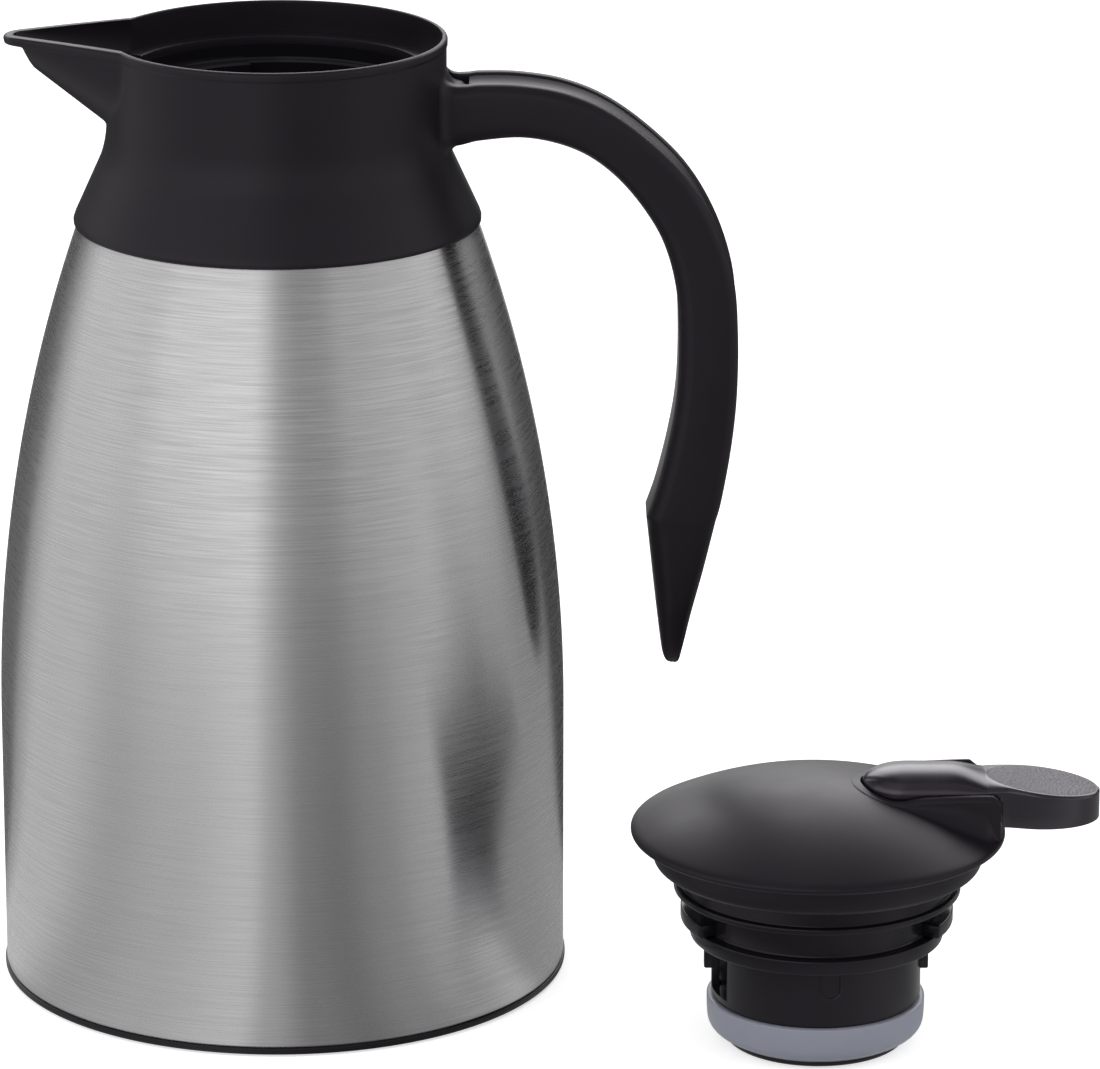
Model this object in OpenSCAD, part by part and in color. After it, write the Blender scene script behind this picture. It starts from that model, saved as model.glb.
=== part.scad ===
// Vacuum carafe with an open spout and handle, and its screw-in stopper lid
// standing beside it on its own base. The thumb lever on the lid opens a
// spring-loaded valve. Millimetres, +Z up; the origin is the centre of the
// carafe's base, the spout points along -X and the handle along +X.

/* [Bottle] */
// Height of the mouth's rim above the floor
rim_z = 220.6; // [216:0.1:240]
// Outer radius of the steel body at its straight part
body_r = 65.2; // [62:0.1:70]
// Height at which the straight side turns into the long arc
straight_top = 62; // [40:1:70]
// Radius of the long arc that draws the side in
side_arc_r = 350; // [330:5:400]
// Thickness of the outer steel wall
shell_t = 0.8; // [0.6:0.1:1.2]
// Thickness of the inner steel wall
liner_t = 0.6; // [0.4:0.1:1]
// Vacuum gap between the two walls
vacuum_gap = 4; // [3:0.5:8]
// Radius of the neck's bore, where the lid's seal sits
neck_bore_r = 24.8; // [24.6:0.1:25.2]
// Height of the steel lip below the rim
lip_drop = 36.5; // [36.5:0.5:38]
// Height of the neck's straight bore
neck_bore_h = 13; // [12:0.5:16]
// Height of the black band under the steel
band_h = 1.9; // [1.5:0.1:4]
// How far the bottom cap stands proud of the steel
band_proud = 0.4; // [0:0.1:1]

/* [Collar and spout] */
// Height of the collar, from its lower edge to the rim
collar_h = 42.6; // [41.6:0.1:44]
// How far the collar's lower lip stands proud of the steel
collar_lip = 0.9; // [0.4:0.1:1.5]
// Gap between the mouth and the band of the lid that goes into it
mouth_gap = 0.2; // [0.2:0.1:0.6]
// Thickness of the rim's wall
rim_t = 1.2; // [1.2:0.1:2]
// How far the collar's waist lies inside the rim
waist_in = 0.2; // [0.2:0.1:0.8]
// Thickness of the collar's wall
collar_t = 2.2; // [1.8:0.1:2.4]
// Depth of the ledge below the rim
ledge_drop = 7.3; // [6:0.1:8.5]
// Thickness of the ledge
ledge_t = 2; // [1.5:0.1:2.5]
// How far the spout's tip lies from the axis
spout_reach = 63; // [57:0.5:65]
// Half angle of the spout's cone
spout_angle = 30.4; // [29:0.2:33]
// How far the spout's cone tilts down towards the mouth
spout_tilt = 7.2; // [5:0.2:9]
// Thickness of the spout's wall
spout_t = 2; // [1.6:0.1:2.4]

/* [Handle] */
// Height of the handle's root on the collar, below the rim
handle_drop = 16.1; // [14.5:0.1:17]
// How far the handle's back lies from the axis
handle_reach = 97.8; // [92:0.1:106]
// How far the handle's tip lies below the rim
handle_fall = 147.6; // [140:0.2:158]
// Width of the handle
handle_w = 19; // [16:0.5:22]
// Thickness of the handle along its arch
handle_t = 12.8; // [11:0.2:13.6]
// Width of the channel along the handle's outer face
channel_w = 10; // [9:0.5:13]
// Depth of that channel
channel_d = 2.4; // [2:0.1:3]
// Thickness of the cover strip in the channel
cover_t = 1.6; // [1.2:0.1:1.8]
// Radius of the handle screws' shanks
screw_r = 1.5; // [1.2:0.1:1.8]

/* [Lid] */
// Where the lid stands, along X
lid_x = 122.2; // [121:0.2:140]
// Where the lid stands, along Y
lid_y = -51.8; // [-70:0.2:-51.6]
// Overhang of the dome past the band under it
dome_over = 4.9; // [4:0.1:5.2]
// Height of the dome's lower edge above the lid's base
dome_z = 48.7; // [48.5:0.1:50]
// Rise of the dome above its widest line
dome_rise = 11.2; // [10:0.1:11.8]
// Wall of the dome
dome_t = 2; // [1.6:0.1:2.2]
// Radius of the stopper's flange
flange_r = 33; // [32.5:0.1:33.5]
// How far the band under the dome stands out from the flange
skirt_over = 4.3; // [4:0.1:4.6]
// How far the locking lugs lie inside the flange
lug_in = 2.2; // [2:0.1:2.6]
// How far the lower guide ring lies inside the lugs
ring_in = 1.9; // [1.8:0.1:2.4]
// Gap between the barrel and the neck's bore
barrel_gap = 1.1; // [0.9:0.1:1.6]
// Wall of the barrel
barrel_t = 1.8; // [1.4:0.1:2]
// Gap between the silicone seal and the neck's bore
seal_gap = 0.1; // [0.1:0.05:0.3]
// Height of the seal's top above the lid's base
seal_top = 10.7; // [9.5:0.1:12]
// How far the seal's edge stands out from the disc under it
seal_lip = 4.3; // [4.2:0.1:5]
// Thickness of that disc
foot_t = 1.4; // [1.2:0.1:2]
// Half of the pouring window's angle
window_half = 30; // [20:1:36]

/* [Lever and valve] */
// Width of the lever's arm
arm_w = 18; // [16:0.5:18]
// Top of the arm above the lid's base
arm_top = 65; // [64:0.1:65.6]
// Thickness of the arm
arm_t = 5.8; // [5.2:0.1:6]
// Distance of the thumb pad's centre past the hinge housing
pad_out = 8.6; // [8:0.1:12]
// Half of the thumb pad's length, along the arm
pad_r = 13.1; // [11:0.1:13.5]
// Half of the thumb pad's width
pad_half_w = 10.4; // [9.5:0.1:11.5]
// Thickness of the pad at its centre
pad_t = 7.6; // [6:0.2:8]
// Slope of the pad's top
pad_slope = 11; // [8:1:15]
// Distance of the pivot pin from the lid's axis
pivot_x = 30; // [29:0.5:31]
// Radius of the pivot pin
pin_r = 1.5; // [1.2:0.1:1.8]
// Travel of the lever in degrees
lever_travel = 8; // [6:1:8]
// Radius of the valve's stem
stem_r = 2.5; // [2:0.1:2.8]
// Radius of the valve's disc
poppet_r = 13.2; // [12:0.1:13.5]
// Radius of the inlet under the valve
inlet_r = 10; // [8:0.5:10.5]
// Wire of the valve's spring
wire_d = 1; // [0.8:0.1:1.2]
// Middle radius of the spring's coil
coil_r = 7; // [6.5:0.5:8]
// Turns of the spring
coil_turns = 5; // [4:1:6]

/* [Fits] */
// Running clearance of shafts in their bores
run_fit = 0.05; // [0.02:0.01:0.08]
// Gap between pieces that move past each other
gap = 0.4; // [0.3:0.05:0.5]

/* [Hidden] */
fine = 180;
small = 48;
slack = 0.01;

black = [0.15, 0.14, 0.15];
deep_black = [0.09, 0.09, 0.1];
steel = [0.72, 0.72, 0.73];
silicone = [0.85, 0.89, 0.94];

// radii that follow from the neck's bore and the flange
seal_r = neck_bore_r - seal_gap;
barrel_r = neck_bore_r - barrel_gap;
foot_r = seal_r - seal_lip;
lug_r = flange_r - lug_in;
ring_r = lug_r - ring_in;
skirt_r = flange_r + skirt_over;
dome_r = skirt_r + dome_over;
mouth_r = skirt_r + mouth_gap;
rim_r = mouth_r + rim_t;
waist_r = rim_r - waist_in;

// heights on the bottle
lip_z = rim_z - lip_drop;
collar_z = rim_z - collar_h;
ledge_z = rim_z - ledge_drop;
shoulder_rise = 4;
shoulder_inset = 2.4;
shoulder_z = lip_z - 1 - shoulder_rise;
neck_mid_r = neck_bore_r + liner_t;
neck_out_r = neck_mid_r + shell_t;
liner_off = shell_t + vacuum_gap;
liner_neck_rise = 11;
liner_shoulder_z = lip_z - neck_bore_h - liner_neck_rise;
liner_corner = 9;

// bottom of the bottle
base_disc_z = band_h + 3.4;
getter_r = 7;
getter_t = 2;
liner_floor_z = base_disc_z + shell_t + 4;
port_r = 1.2;
port_pellet_r = 3;
spigot_gap = 0.3;
spigot_t = 2;
spigot_h = 2.4;

// inside of the mouth
ring_top_z = ledge_z - 5.4;
ring_t = 3.7;
gasket_t = 1.1;
insert_floor_z = lip_z + gasket_t;
insert_floor_t = 1.6;
lip_wall = 1.7;
chamber_r = lug_r + 0.6;
bayonet_r = ring_r + 0.5;
lip_in_r = flange_r + mouth_gap;
insert_r = lip_in_r + lip_wall;
notch_turn = 72;
lug_half = 30;
notch_half = lug_half + 2;
pour_half_w = 13;
pour_depth = 16.5;
gap_r = mouth_r - 0.3;
tip_cut = 5.2;
apex_up = 1.6;
spout_rise = 0.5;
spout_root_x = 22;
rim_round = 0.8;
inner_round = 0.3;

// the two handle screws
screw_pitch = 9;
screw_head_r = 2.8;
screw_len = 14;
boss_r = rim_r + 0.8;

// heights on the lid
flange_z = 36;
flange_t = 1.4;
lug_z = 28.9;
lug_t = 3.1;
guide_z = 25;
guide_t = 3.5;
root_in = 2.3;
root_r = ring_r - root_in;
root_t = 2;
flange_lip = 2;
tube_r = flange_r - flange_lip;
tube_t = 2;
tube_top = dome_z - 2;
skirt_z = 41.4;
skirt_t = 2;
spigot_in = 1.4;
spigot_r = foot_r - spigot_in;
spigot_wall = 1.8;
socket_h = 6;
socket_wall = 1.4;
deck_z = guide_z;
deck_t = 2;
bush_r = 5;
bush_top = deck_z + 5;
stem_seal_t = 1.8;
stem_seal_w = 1.5;
dome_wide_z = dome_z + 1.3;
apex_z = dome_wide_z + dome_rise;
window_sill = seal_top + 2;
window_top = guide_z - 0.8;
bar_w = 3.6;
nib_z = 16.8;
nib_h = 4.2;

// lever
arm_z = arm_top - arm_t;
arm_end_x = 10;
pivot_z = arm_z - 3.7;
pod_in = 0.3;
pod_end_x = dome_r - pod_in;
pad_x = pod_end_x + pad_out;
cheek_t = 2;
cheek_top = arm_z + 2.9;
arm_side = 2;
pad_in_x = pod_end_x + 1.3;
pad_z = 53.6;
lever_play = 0.6;
tongue_t = 2;
stem_lift = pivot_x * lever_travel * PI / 180;
cap_top = apex_z - dome_t - stem_lift - 0.9;
cap_t = 1.4;
cap_r = 5;
cap_z = cap_top - cap_t;
tongue_z = cap_z - lever_play - tongue_t;

// valve
seat_z = 3;
seat_gap = 0.1;
gasket_disc_t = 1.6;
poppet_z = seat_z + seat_gap + gasket_disc_t;
poppet_t = 2.8;
spring_low = poppet_z + poppet_t;
spring_high = deck_z;

// ---------------------------------------------------------------- helpers

// points on an ellipse's arc, angles in degrees
function arc_pts(c, rx, ry, a0, a1, n) =
    [for (i = [0:n]) let (a = a0 + (a1 - a0) * i / n) [c[0] + rx * cos(a), c[1] + ry * sin(a)]];

function flip(list) = [for (i = [len(list) - 1:-1:0]) list[i]];

// the bottle's long side arc, moved inwards by off, from the straight part up to height z
function side_angle(off, z) = asin((z - straight_top) / (side_arc_r - off));
function side_pts(off, z) =
    arc_pts([body_r - side_arc_r, straight_top], side_arc_r - off, side_arc_r - off,
            0, side_angle(off, z), 16);
function side_r(off, z) = body_r - side_arc_r + (side_arc_r - off) * cos(side_angle(off, z));

// a closed skin over rings of equal point counts, with flat ends
module skin(rings) {
    n = len(rings[0]);
    m = len(rings);
    points = [for (ring = rings) each ring];
    sides = [for (j = [0:m - 2], i = [0:n - 1]) let (k = (i + 1) % n)
             each [[j * n + i, j * n + k, (j + 1) * n + k], [j * n + i, (j + 1) * n + k, (j + 1) * n + i]]];
    first = [for (i = [n - 1:-1:0]) i];
    last = [for (i = [0:n - 1]) (m - 1) * n + i];
    polyhedron(points, concat(sides, [first, last]), convexity = 8);
}

// a sector of a disc, from angle a0 to a1, wide enough for radius r
module sector(r, a0, a1) {
    mid = (a0 + a1) / 2;
    far = r / cos((a1 - a0) / 4);
    polygon([[0, 0], [far * cos(a0), far * sin(a0)], [far * cos((a0 + mid) / 2), far * sin((a0 + mid) / 2)],
             [far * cos(mid), far * sin(mid)], [far * cos((a1 + mid) / 2), far * sin((a1 + mid) / 2)],
             [far * cos(a1), far * sin(a1)]]);
}

module ring(r_out, r_in, z0, z1, sides = fine) {
    translate([0, 0, z0]) difference() {
        cylinder(r = r_out, h = z1 - z0, $fn = sides);
        translate([0, 0, -1]) cylinder(r = r_in, h = z1 - z0 + 2, $fn = sides);
    }
}

// a round solid from its outline
module turned(outline, sides = fine) {
    rotate_extrude($fn = sides) polygon(outline);
}

module at_lid() {
    translate([lid_x, lid_y, 0]) children();
}

// ---------------------------------------------------------------- bottle

module outer_shell() {
    shoulder_r = side_r(0, collar_z) - shoulder_inset;
    color(steel) turned(concat(
        [[body_r, band_h]],
        side_pts(0, collar_z),
        arc_pts([neck_out_r, shoulder_z], shoulder_r - neck_out_r, shoulder_rise, 0, 90, 10),
        [[neck_out_r, lip_z], [neck_mid_r, lip_z], [neck_mid_r, shoulder_z + shoulder_rise - shell_t]],
        arc_pts([neck_out_r, shoulder_z], shoulder_r - neck_out_r - shell_t, shoulder_rise - shell_t,
                90, 0, 10),
        flip(side_pts(shell_t, collar_z - shell_t)),
        [[body_r - shell_t, band_h]]));
}

module shell_base() {
    r = body_r - shell_t;
    color(steel) difference() {
        turned([[r, band_h], [r, base_disc_z + shell_t], [0, base_disc_z + shell_t],
                [0, base_disc_z], [r - shell_t, base_disc_z], [r - shell_t, band_h]]);
        cylinder(r = port_r, h = base_disc_z + 2, $fn = small);
    }
}

module port_seal() {
    color([0.45, 0.42, 0.38]) {
        translate([0, 0, base_disc_z - shell_t]) cylinder(r = port_pellet_r, h = shell_t, $fn = small);
        translate([0, 0, base_disc_z - slack]) cylinder(r = port_r, h = shell_t + slack, $fn = small);
    }
}

// one side of the inner bottle's wall, moved inwards by off; the neck's side is neck_r
function liner_pts(off, floor_z, corner, neck_r, drop) = concat(
    [[0, floor_z]],
    arc_pts([body_r - off - corner, floor_z + corner], corner, corner, 270, 360, 8),
    side_pts(off, liner_shoulder_z),
    arc_pts([neck_mid_r, liner_shoulder_z], side_r(off, liner_shoulder_z) - neck_mid_r,
            liner_neck_rise - drop, 6, 90, 12),
    [[neck_r, liner_shoulder_z + liner_neck_rise - drop], [neck_r, lip_z]]);

module inner_liner() {
    color(steel) turned(concat(
        liner_pts(liner_off, liner_floor_z, liner_corner, neck_mid_r, 0),
        flip(liner_pts(liner_off + liner_t, liner_floor_z + liner_t, liner_corner - liner_t,
                       neck_bore_r, liner_t))));
}

module getter() {
    color([0.5, 0.5, 0.52]) translate([0, 0, liner_floor_z - getter_t])
        cylinder(r = getter_r, h = getter_t, $fn = small);
}

module base_cover() {
    r = body_r + band_proud;
    spigot_out = body_r - 2 * shell_t - spigot_gap;
    color(black) {
        turned(concat([[0, 0]],
                      arc_pts([r - 0.6, 0.6], 0.6, 0.6, 270, 360, 3),
                      [[r, band_h], [0, band_h]]));
        ring(spigot_out, spigot_out - spigot_t, band_h - slack, band_h + spigot_h);
    }
}

// ---------------------------------------------------------------- collar

collar_foot_r = side_r(0, collar_z) + collar_lip;
waist_z = rim_z - 19;
waist_arc = 25;
waist_turn = 19.9;
cone_top_r = waist_r + waist_arc * (1 - cos(waist_turn));
cone_top_z = waist_z - waist_arc * sin(waist_turn);

function collar_outline() = concat(
    [[side_r(0, collar_z) + 0.1, collar_z], [collar_foot_r - 0.3, collar_z],
     [collar_foot_r, collar_z + 0.4], [collar_foot_r, collar_z + 1.2]],
    arc_pts([waist_r + waist_arc, waist_z], waist_arc, waist_arc, 180 + waist_turn, 180, 5),
    [[rim_r, rim_z - rim_round - 0.3]],
    arc_pts([rim_r - rim_round, rim_z - rim_round], rim_round, rim_round, 0, 90, 4),
    arc_pts([mouth_r + inner_round, rim_z - inner_round], inner_round, inner_round, 90, 180, 2),
    [[mouth_r, ledge_z], [lip_in_r, ledge_z], [lip_in_r, ledge_z - ledge_t],
     [waist_r - collar_t, ledge_z - ledge_t], [waist_r - collar_t, waist_z],
     [cone_top_r - collar_t, cone_top_z],
     [side_r(0, collar_z) - shoulder_inset + 0.6, shoulder_z + 1.6],
     [side_r(0, collar_z) - shoulder_inset + 0.3, shoulder_z + 0.2]]);

// the spout's cone, its apex moved inwards by shift along its own axis
module spout_cone(shift) {
    length = spout_reach - spout_root_x;
    translate([-spout_reach - tip_cut * 0.62, 0, rim_z + apex_up])
        rotate([0, 90 + spout_tilt, 0])
            translate([0, 0, shift + tip_cut])
                cylinder(r1 = tip_cut * tan(spout_angle), r2 = (length + tip_cut) * tan(spout_angle),
                         h = length, $fn = fine);
}

module spout_body() {
    difference() {
        intersection() {
            spout_cone(0);
            rotate([90, 0, 0]) linear_extrude(2 * mouth_r, center = true)
                polygon([[-spout_reach, rim_z - 30], [-spout_root_x, rim_z - 30], [-spout_root_x, rim_z],
                         [-lip_in_r, rim_z], [-spout_reach, rim_z + spout_rise]]);
        }
        translate([0, 0, rim_z - 31]) cylinder(r = mouth_r, h = 32, $fn = fine);
    }
}

// the open channel of the spout, which runs through the wall into the mouth
module spout_channel() {
    difference() {
        spout_cone(spout_t / sin(spout_angle));
        translate([0, 0, rim_z - 60]) cylinder(r = gap_r, h = 60 - ledge_drop, $fn = fine);
    }
}

// the way from the mouth into the channel, through the ledge and the insert's wall
module pour_gap() {
    intersection() {
        translate([-mouth_r - 1, -pour_half_w, rim_z - pour_depth])
            cube([mouth_r - 20, 2 * pour_half_w, pour_depth]);
        translate([0, 0, rim_z - 60]) cylinder(r = gap_r + 0.2, h = 61, $fn = fine);
    }
}

// carries its children to each screw's place, along +Z from the collar's inner face
module at_screws() {
    for (side = [-1, 1]) translate([waist_r - collar_t, side * screw_pitch / 2, rim_z - handle_drop - 0.7])
        rotate([0, 90, 0]) children();
}

module screw(length) {
    cylinder(r = screw_r, h = length, $fn = small);
    cylinder(r1 = screw_head_r, r2 = screw_r, h = screw_head_r - screw_r, $fn = small);
}

module screw_holes() {
    at_screws() {
        screw(screw_len + 1);
        translate([0, 0, -2]) cylinder(r = screw_head_r, h = 2, $fn = small);
    }
}

// the saddle on the collar that the handle's root stands on
module handle_saddle() {
    difference() {
        intersection() {
            translate([0, 0, rim_z - handle_drop - 12]) cylinder(r = boss_r, h = 24, $fn = fine);
            translate([20, 0, rim_z - handle_drop]) rotate([0, 90, 0])
                cylinder(r = 10, h = 30, $fn = small);
        }
        translate([0, 0, rim_z - 60]) cylinder(r = waist_r - collar_t / 2, h = 70, $fn = fine);
    }
}

module collar() {
    color(black) difference() {
        union() {
            turned(collar_outline());
            spout_body();
            handle_saddle();
        }
        spout_channel();
        pour_gap();
        screw_holes();
    }
}

module neck_ring() {
    color(deep_black) difference() {
        union() {
            turned([[neck_mid_r - 0.3, insert_floor_z], [insert_r, insert_floor_z],
                    [insert_r, ledge_z - ledge_t], [lip_in_r, ledge_z - ledge_t],
                    [lip_in_r, ring_top_z], [chamber_r, ring_top_z],
                    [chamber_r, insert_floor_z + insert_floor_t],
                    [neck_mid_r - 0.3, insert_floor_z + insert_floor_t]]);
            difference() {
                ring(chamber_r + 0.5, bayonet_r, ring_top_z - ring_t, ring_top_z);
                for (turn = [0, 180]) rotate(turn + notch_turn)
                    translate([0, 0, ring_top_z - ring_t - 1]) linear_extrude(ring_t + 2)
                        sector(chamber_r, -notch_half, notch_half);
            }
        }
        pour_gap();
    }
}

module neck_gasket() {
    color(silicone) ring(neck_out_r + 2.2, neck_mid_r - 0.3, lip_z, insert_floor_z);
}

// ---------------------------------------------------------------- handle

// Stations along the handle from the collar to the tip, as shares: of its reach, of its fall, of its
// width and of its thickness. The root lies inside the collar's wall, and the last is the tip.
root_x = waist_r - 1;
handle_shape = [
    [0, 0.005, 1.35, 1.48], [0.056, 0.002, 1.1, 1.156], [0.149, 0, 1, 1.008],
    [0.304, -0.003, 1, 0.992], [0.469, 0.017, 1, 1], [0.686, 0.07, 1, 1.008],
    [0.831, 0.135, 1, 1.014], [0.924, 0.21, 1, 1.024], [0.982, 0.297, 1, 1.051],
    [1, 0.395, 1, 1.074], [0.995, 0.502, 1, 1.098], [0.967, 0.612, 1, 1.13],
    [0.92, 0.703, 1, 1.195], [0.903, 0.731, 0.99, 1.211], [0.895, 0.814, 0.9, 0.922],
    [0.88, 0.895, 0.76, 0.648], [0.87, 0.983, 0.5, 0.352], [0.868, 1, 0.26, 0.172]];
handle_path = [for (p = handle_shape)
    [root_x + p[0] * (handle_reach - root_x), handle_drop + p[1] * (handle_fall - handle_drop),
     p[2], handle_t * p[3]]];

// a smooth curve through the stations
function curve(p, i, t) =
    let (a = p[max(i - 1, 0)], b = p[i], c = p[i + 1], d = p[min(i + 2, len(p) - 1)])
    0.5 * ((2 * b) + (c - a) * t + (2 * a - 5 * b + 4 * c - d) * t * t
           + (3 * b - a - 3 * c + d) * t * t * t);
steps = 2;
handle_stations = [for (i = [0:len(handle_path) - 2], s = [0:steps - 1]) curve(handle_path, i, s / steps)];
handle_ends = concat(handle_stations, [handle_path[len(handle_path) - 1]]);

// direction of the path at station k, and the point u across and v outwards from it
function heading(k) = let (p = handle_ends, a = p[max(k - 1, 0)], b = p[min(k + 1, len(p) - 1)],
                           d = [b[0] - a[0], a[1] - b[1]]) d / norm(d);
function on_station(k, u, v) = let (p = handle_ends[k], d = heading(k))
    [p[0] - d[1] * v, u, rim_z - p[1] + d[0] * v];

cover_last = 2 * 11;
channel_last = 2 * 13;
function channel_depth(k) = k <= channel_last ? channel_d : 0.3;
function corner_pts(u, v, r, a0, a1) = arc_pts([u, v], r, r, a0, a1, 4);

function handle_ring(k) =
    let (p = handle_ends[k], hw = handle_w * p[2] / 2, ht = p[3] / 2,
         r = min(4, ht * 0.7, hw * 0.7), s = min(3.2, ht * 0.6, hw * 0.4),
         cw = min(channel_w / 2, hw - s + 0.4), cd = min(channel_depth(k), ht * 0.5))
    [for (q = concat(corner_pts(-hw + r, -ht + r, r, 180, 270), corner_pts(hw - r, -ht + r, r, 270, 360),
                     corner_pts(hw - s, ht - s, s, 0, 90), [[cw, ht - cd], [-cw, ht - cd]],
                     corner_pts(-hw + s, ht - s, s, 90, 180))) on_station(k, q[0], q[1])];

module handle() {
    color(black) difference() {
        skin([for (k = [0:len(handle_ends) - 1]) handle_ring(k)]);
        translate([0, 0, rim_z - collar_h]) cylinder(r = boss_r, h = collar_h, $fn = fine);
        screw_holes();
    }
}

function cover_ring(k) =
    let (p = handle_ends[k], ht = p[3] / 2, hw = channel_w / 2 - 0.2, low = ht - channel_d,
         dip = cover_t * 0.3)
    [for (q = [[-hw, low], [hw, low], [hw, low + cover_t], [hw * 0.5, low + cover_t - dip * 0.75],
               [0, low + cover_t - dip], [-hw * 0.5, low + cover_t - dip * 0.75], [-hw, low + cover_t]])
        on_station(k, q[0], q[1])];

module handle_cover() {
    color(deep_black) skin([for (k = [3:cover_last]) cover_ring(k)]);
}

module handle_screws() {
    color(steel) at_screws() screw(screw_len);
}

// ---------------------------------------------------------------- lid

module stopper_body() {
    socket_r = spigot_r - spigot_wall;
    barrel_in = barrel_r - barrel_t;
    color(deep_black) at_lid() difference() {
        union() {
            difference() {
                turned([[socket_r, foot_t], [spigot_r, foot_t], [spigot_r, seal_top], [barrel_r, seal_top],
                        [barrel_r, guide_z], [ring_r, guide_z], [ring_r, guide_z + guide_t],
                        [root_r, guide_z + guide_t], [root_r, flange_z], [flange_r, flange_z],
                        [flange_r, flange_z + flange_t], [tube_r, flange_z + flange_t], [tube_r, tube_top],
                        [tube_r - tube_t, tube_top], [tube_r - tube_t, flange_z + flange_t],
                        [root_r - root_t, flange_z + flange_t - 1], [root_r - root_t, deck_z + deck_t],
                        [bush_r, deck_z + deck_t], [bush_r, bush_top], [stem_r + run_fit, bush_top],
                        [stem_r + run_fit, deck_z], [barrel_in, deck_z],
                        [barrel_in, window_sill], [socket_r, window_sill]]);
                translate([0, 0, window_sill]) linear_extrude(window_top - window_sill)
                    rotate(180) sector(barrel_r + 2, -window_half, window_half);
            }
            // the bar that halves the window
            translate([-barrel_r + 0.1, -bar_w / 2, window_sill - 0.5])
                cube([barrel_t - 0.2, bar_w, window_top - window_sill + 1]);
            for (side = [0, 180]) rotate(side) translate([0, 0, lug_z]) linear_extrude(lug_t)
                intersection() {
                    difference() {
                        circle(r = lug_r, $fn = fine);
                        circle(r = root_r - 0.5, $fn = fine);
                    }
                    sector(lug_r, -lug_half, lug_half);
                }
            for (side = [-1, 1]) translate([side * (barrel_r + 0.4) - 1.3, -bar_w / 2, nib_z])
                cube([2.6, bar_w, nib_h]);
        }
        translate([0, 0, bush_top - stem_seal_t]) cylinder(r = stem_r + stem_seal_w, h = stem_seal_t + 1,
                                                           $fn = small);
    }
}

module stem_seal() {
    color(silicone) at_lid()
        ring(stem_r + stem_seal_w, stem_r + run_fit, bush_top - stem_seal_t, bush_top, small);
}

module lid_skirt() {
    color(black) at_lid() turned(concat(
        [[tube_r, skirt_z], [skirt_r - 3, skirt_z]],
        arc_pts([skirt_r - 3, skirt_z + 3], 3, 3, 285, 360, 5),
        [[skirt_r, dome_z], [skirt_r - skirt_t, dome_z], [skirt_r - skirt_t, skirt_z + skirt_t],
         [tube_r, skirt_z + skirt_t]]));
}

dome_power = 1.5;
plug_depth = 5;
// outline of the dome's top, moved inwards by off
function dome_pts(off) = [for (i = [14:-1:0]) let (r = (dome_r - 0.8) * i / 14)
    [max(r - off * 0.35 * (i > 0 ? 1 : 0), 0),
     dome_wide_z + 0.9 + (dome_rise - 0.9) * (1 - pow(i / 14, dome_power)) - off]];

module dome_shell() {
    plug_in = tube_r + 0.1;
    plug_out = plug_in + 2;
    turned(concat(
        [[plug_out, dome_z], [dome_r - 0.5, dome_z], [dome_r, dome_wide_z - 0.5],
         [dome_r, dome_wide_z + 0.2]],
        dome_pts(0),
        flip([for (p = dome_pts(dome_t)) if (p[0] < plug_in - 1) p]),
        [[plug_in, dome_z + 2.5], [plug_in, dome_z - plug_depth], [plug_out, dome_z - plug_depth]]));
}

// a stadium from the arm's inner end out to x1, grown by grow
module arm_outline(grow, x1) {
    r = arm_w / 2 + grow;
    union() {
        translate([arm_end_x + arm_w / 2, 0]) circle(r = r, $fn = 72);
        translate([arm_end_x + arm_w / 2, -r]) square([x1 - arm_end_x - arm_w / 2, 2 * r]);
    }
}

module lid_dome() {
    half = arm_w / 2 + gap + cheek_t;
    well_half = arm_w / 2 + gap;
    end_top = arm_z - (pod_end_x - pivot_x) * sin(lever_travel) - gap;
    color(black) at_lid() difference() {
        union() {
            dome_shell();
            translate([0, 0, dome_z + 1]) linear_extrude(cheek_top - dome_z - 1)
                arm_outline(gap + cheek_t, pod_end_x);
        }
        // the lever's recess, its well and the hollow under the recess's floor
        translate([0, 0, arm_z - 0.3]) linear_extrude(20) arm_outline(gap, 60);
        translate([24, -well_half, dome_z + 1.5]) cube([pod_end_x - 24 - cheek_t, 2 * well_half, 20]);
        translate([24, -well_half, end_top]) cube([40, 2 * well_half, 20]);
        translate([-6, -well_half, dome_z - 4]) cube([31, 2 * well_half, arm_z - 1.8 - dome_z + 4]);
        translate([pivot_x, 0, pivot_z]) rotate([90, 0, 0])
            cylinder(r = pin_r, h = 2 * (half - 1), center = true, $fn = small);
    }
}

module lever_pin() {
    half = arm_w / 2 + gap + cheek_t - 1;
    color(steel) at_lid() translate([pivot_x, 0, pivot_z]) rotate([90, 0, 0])
        cylinder(r = pin_r, h = 2 * half, center = true, $fn = small);
}

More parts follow.
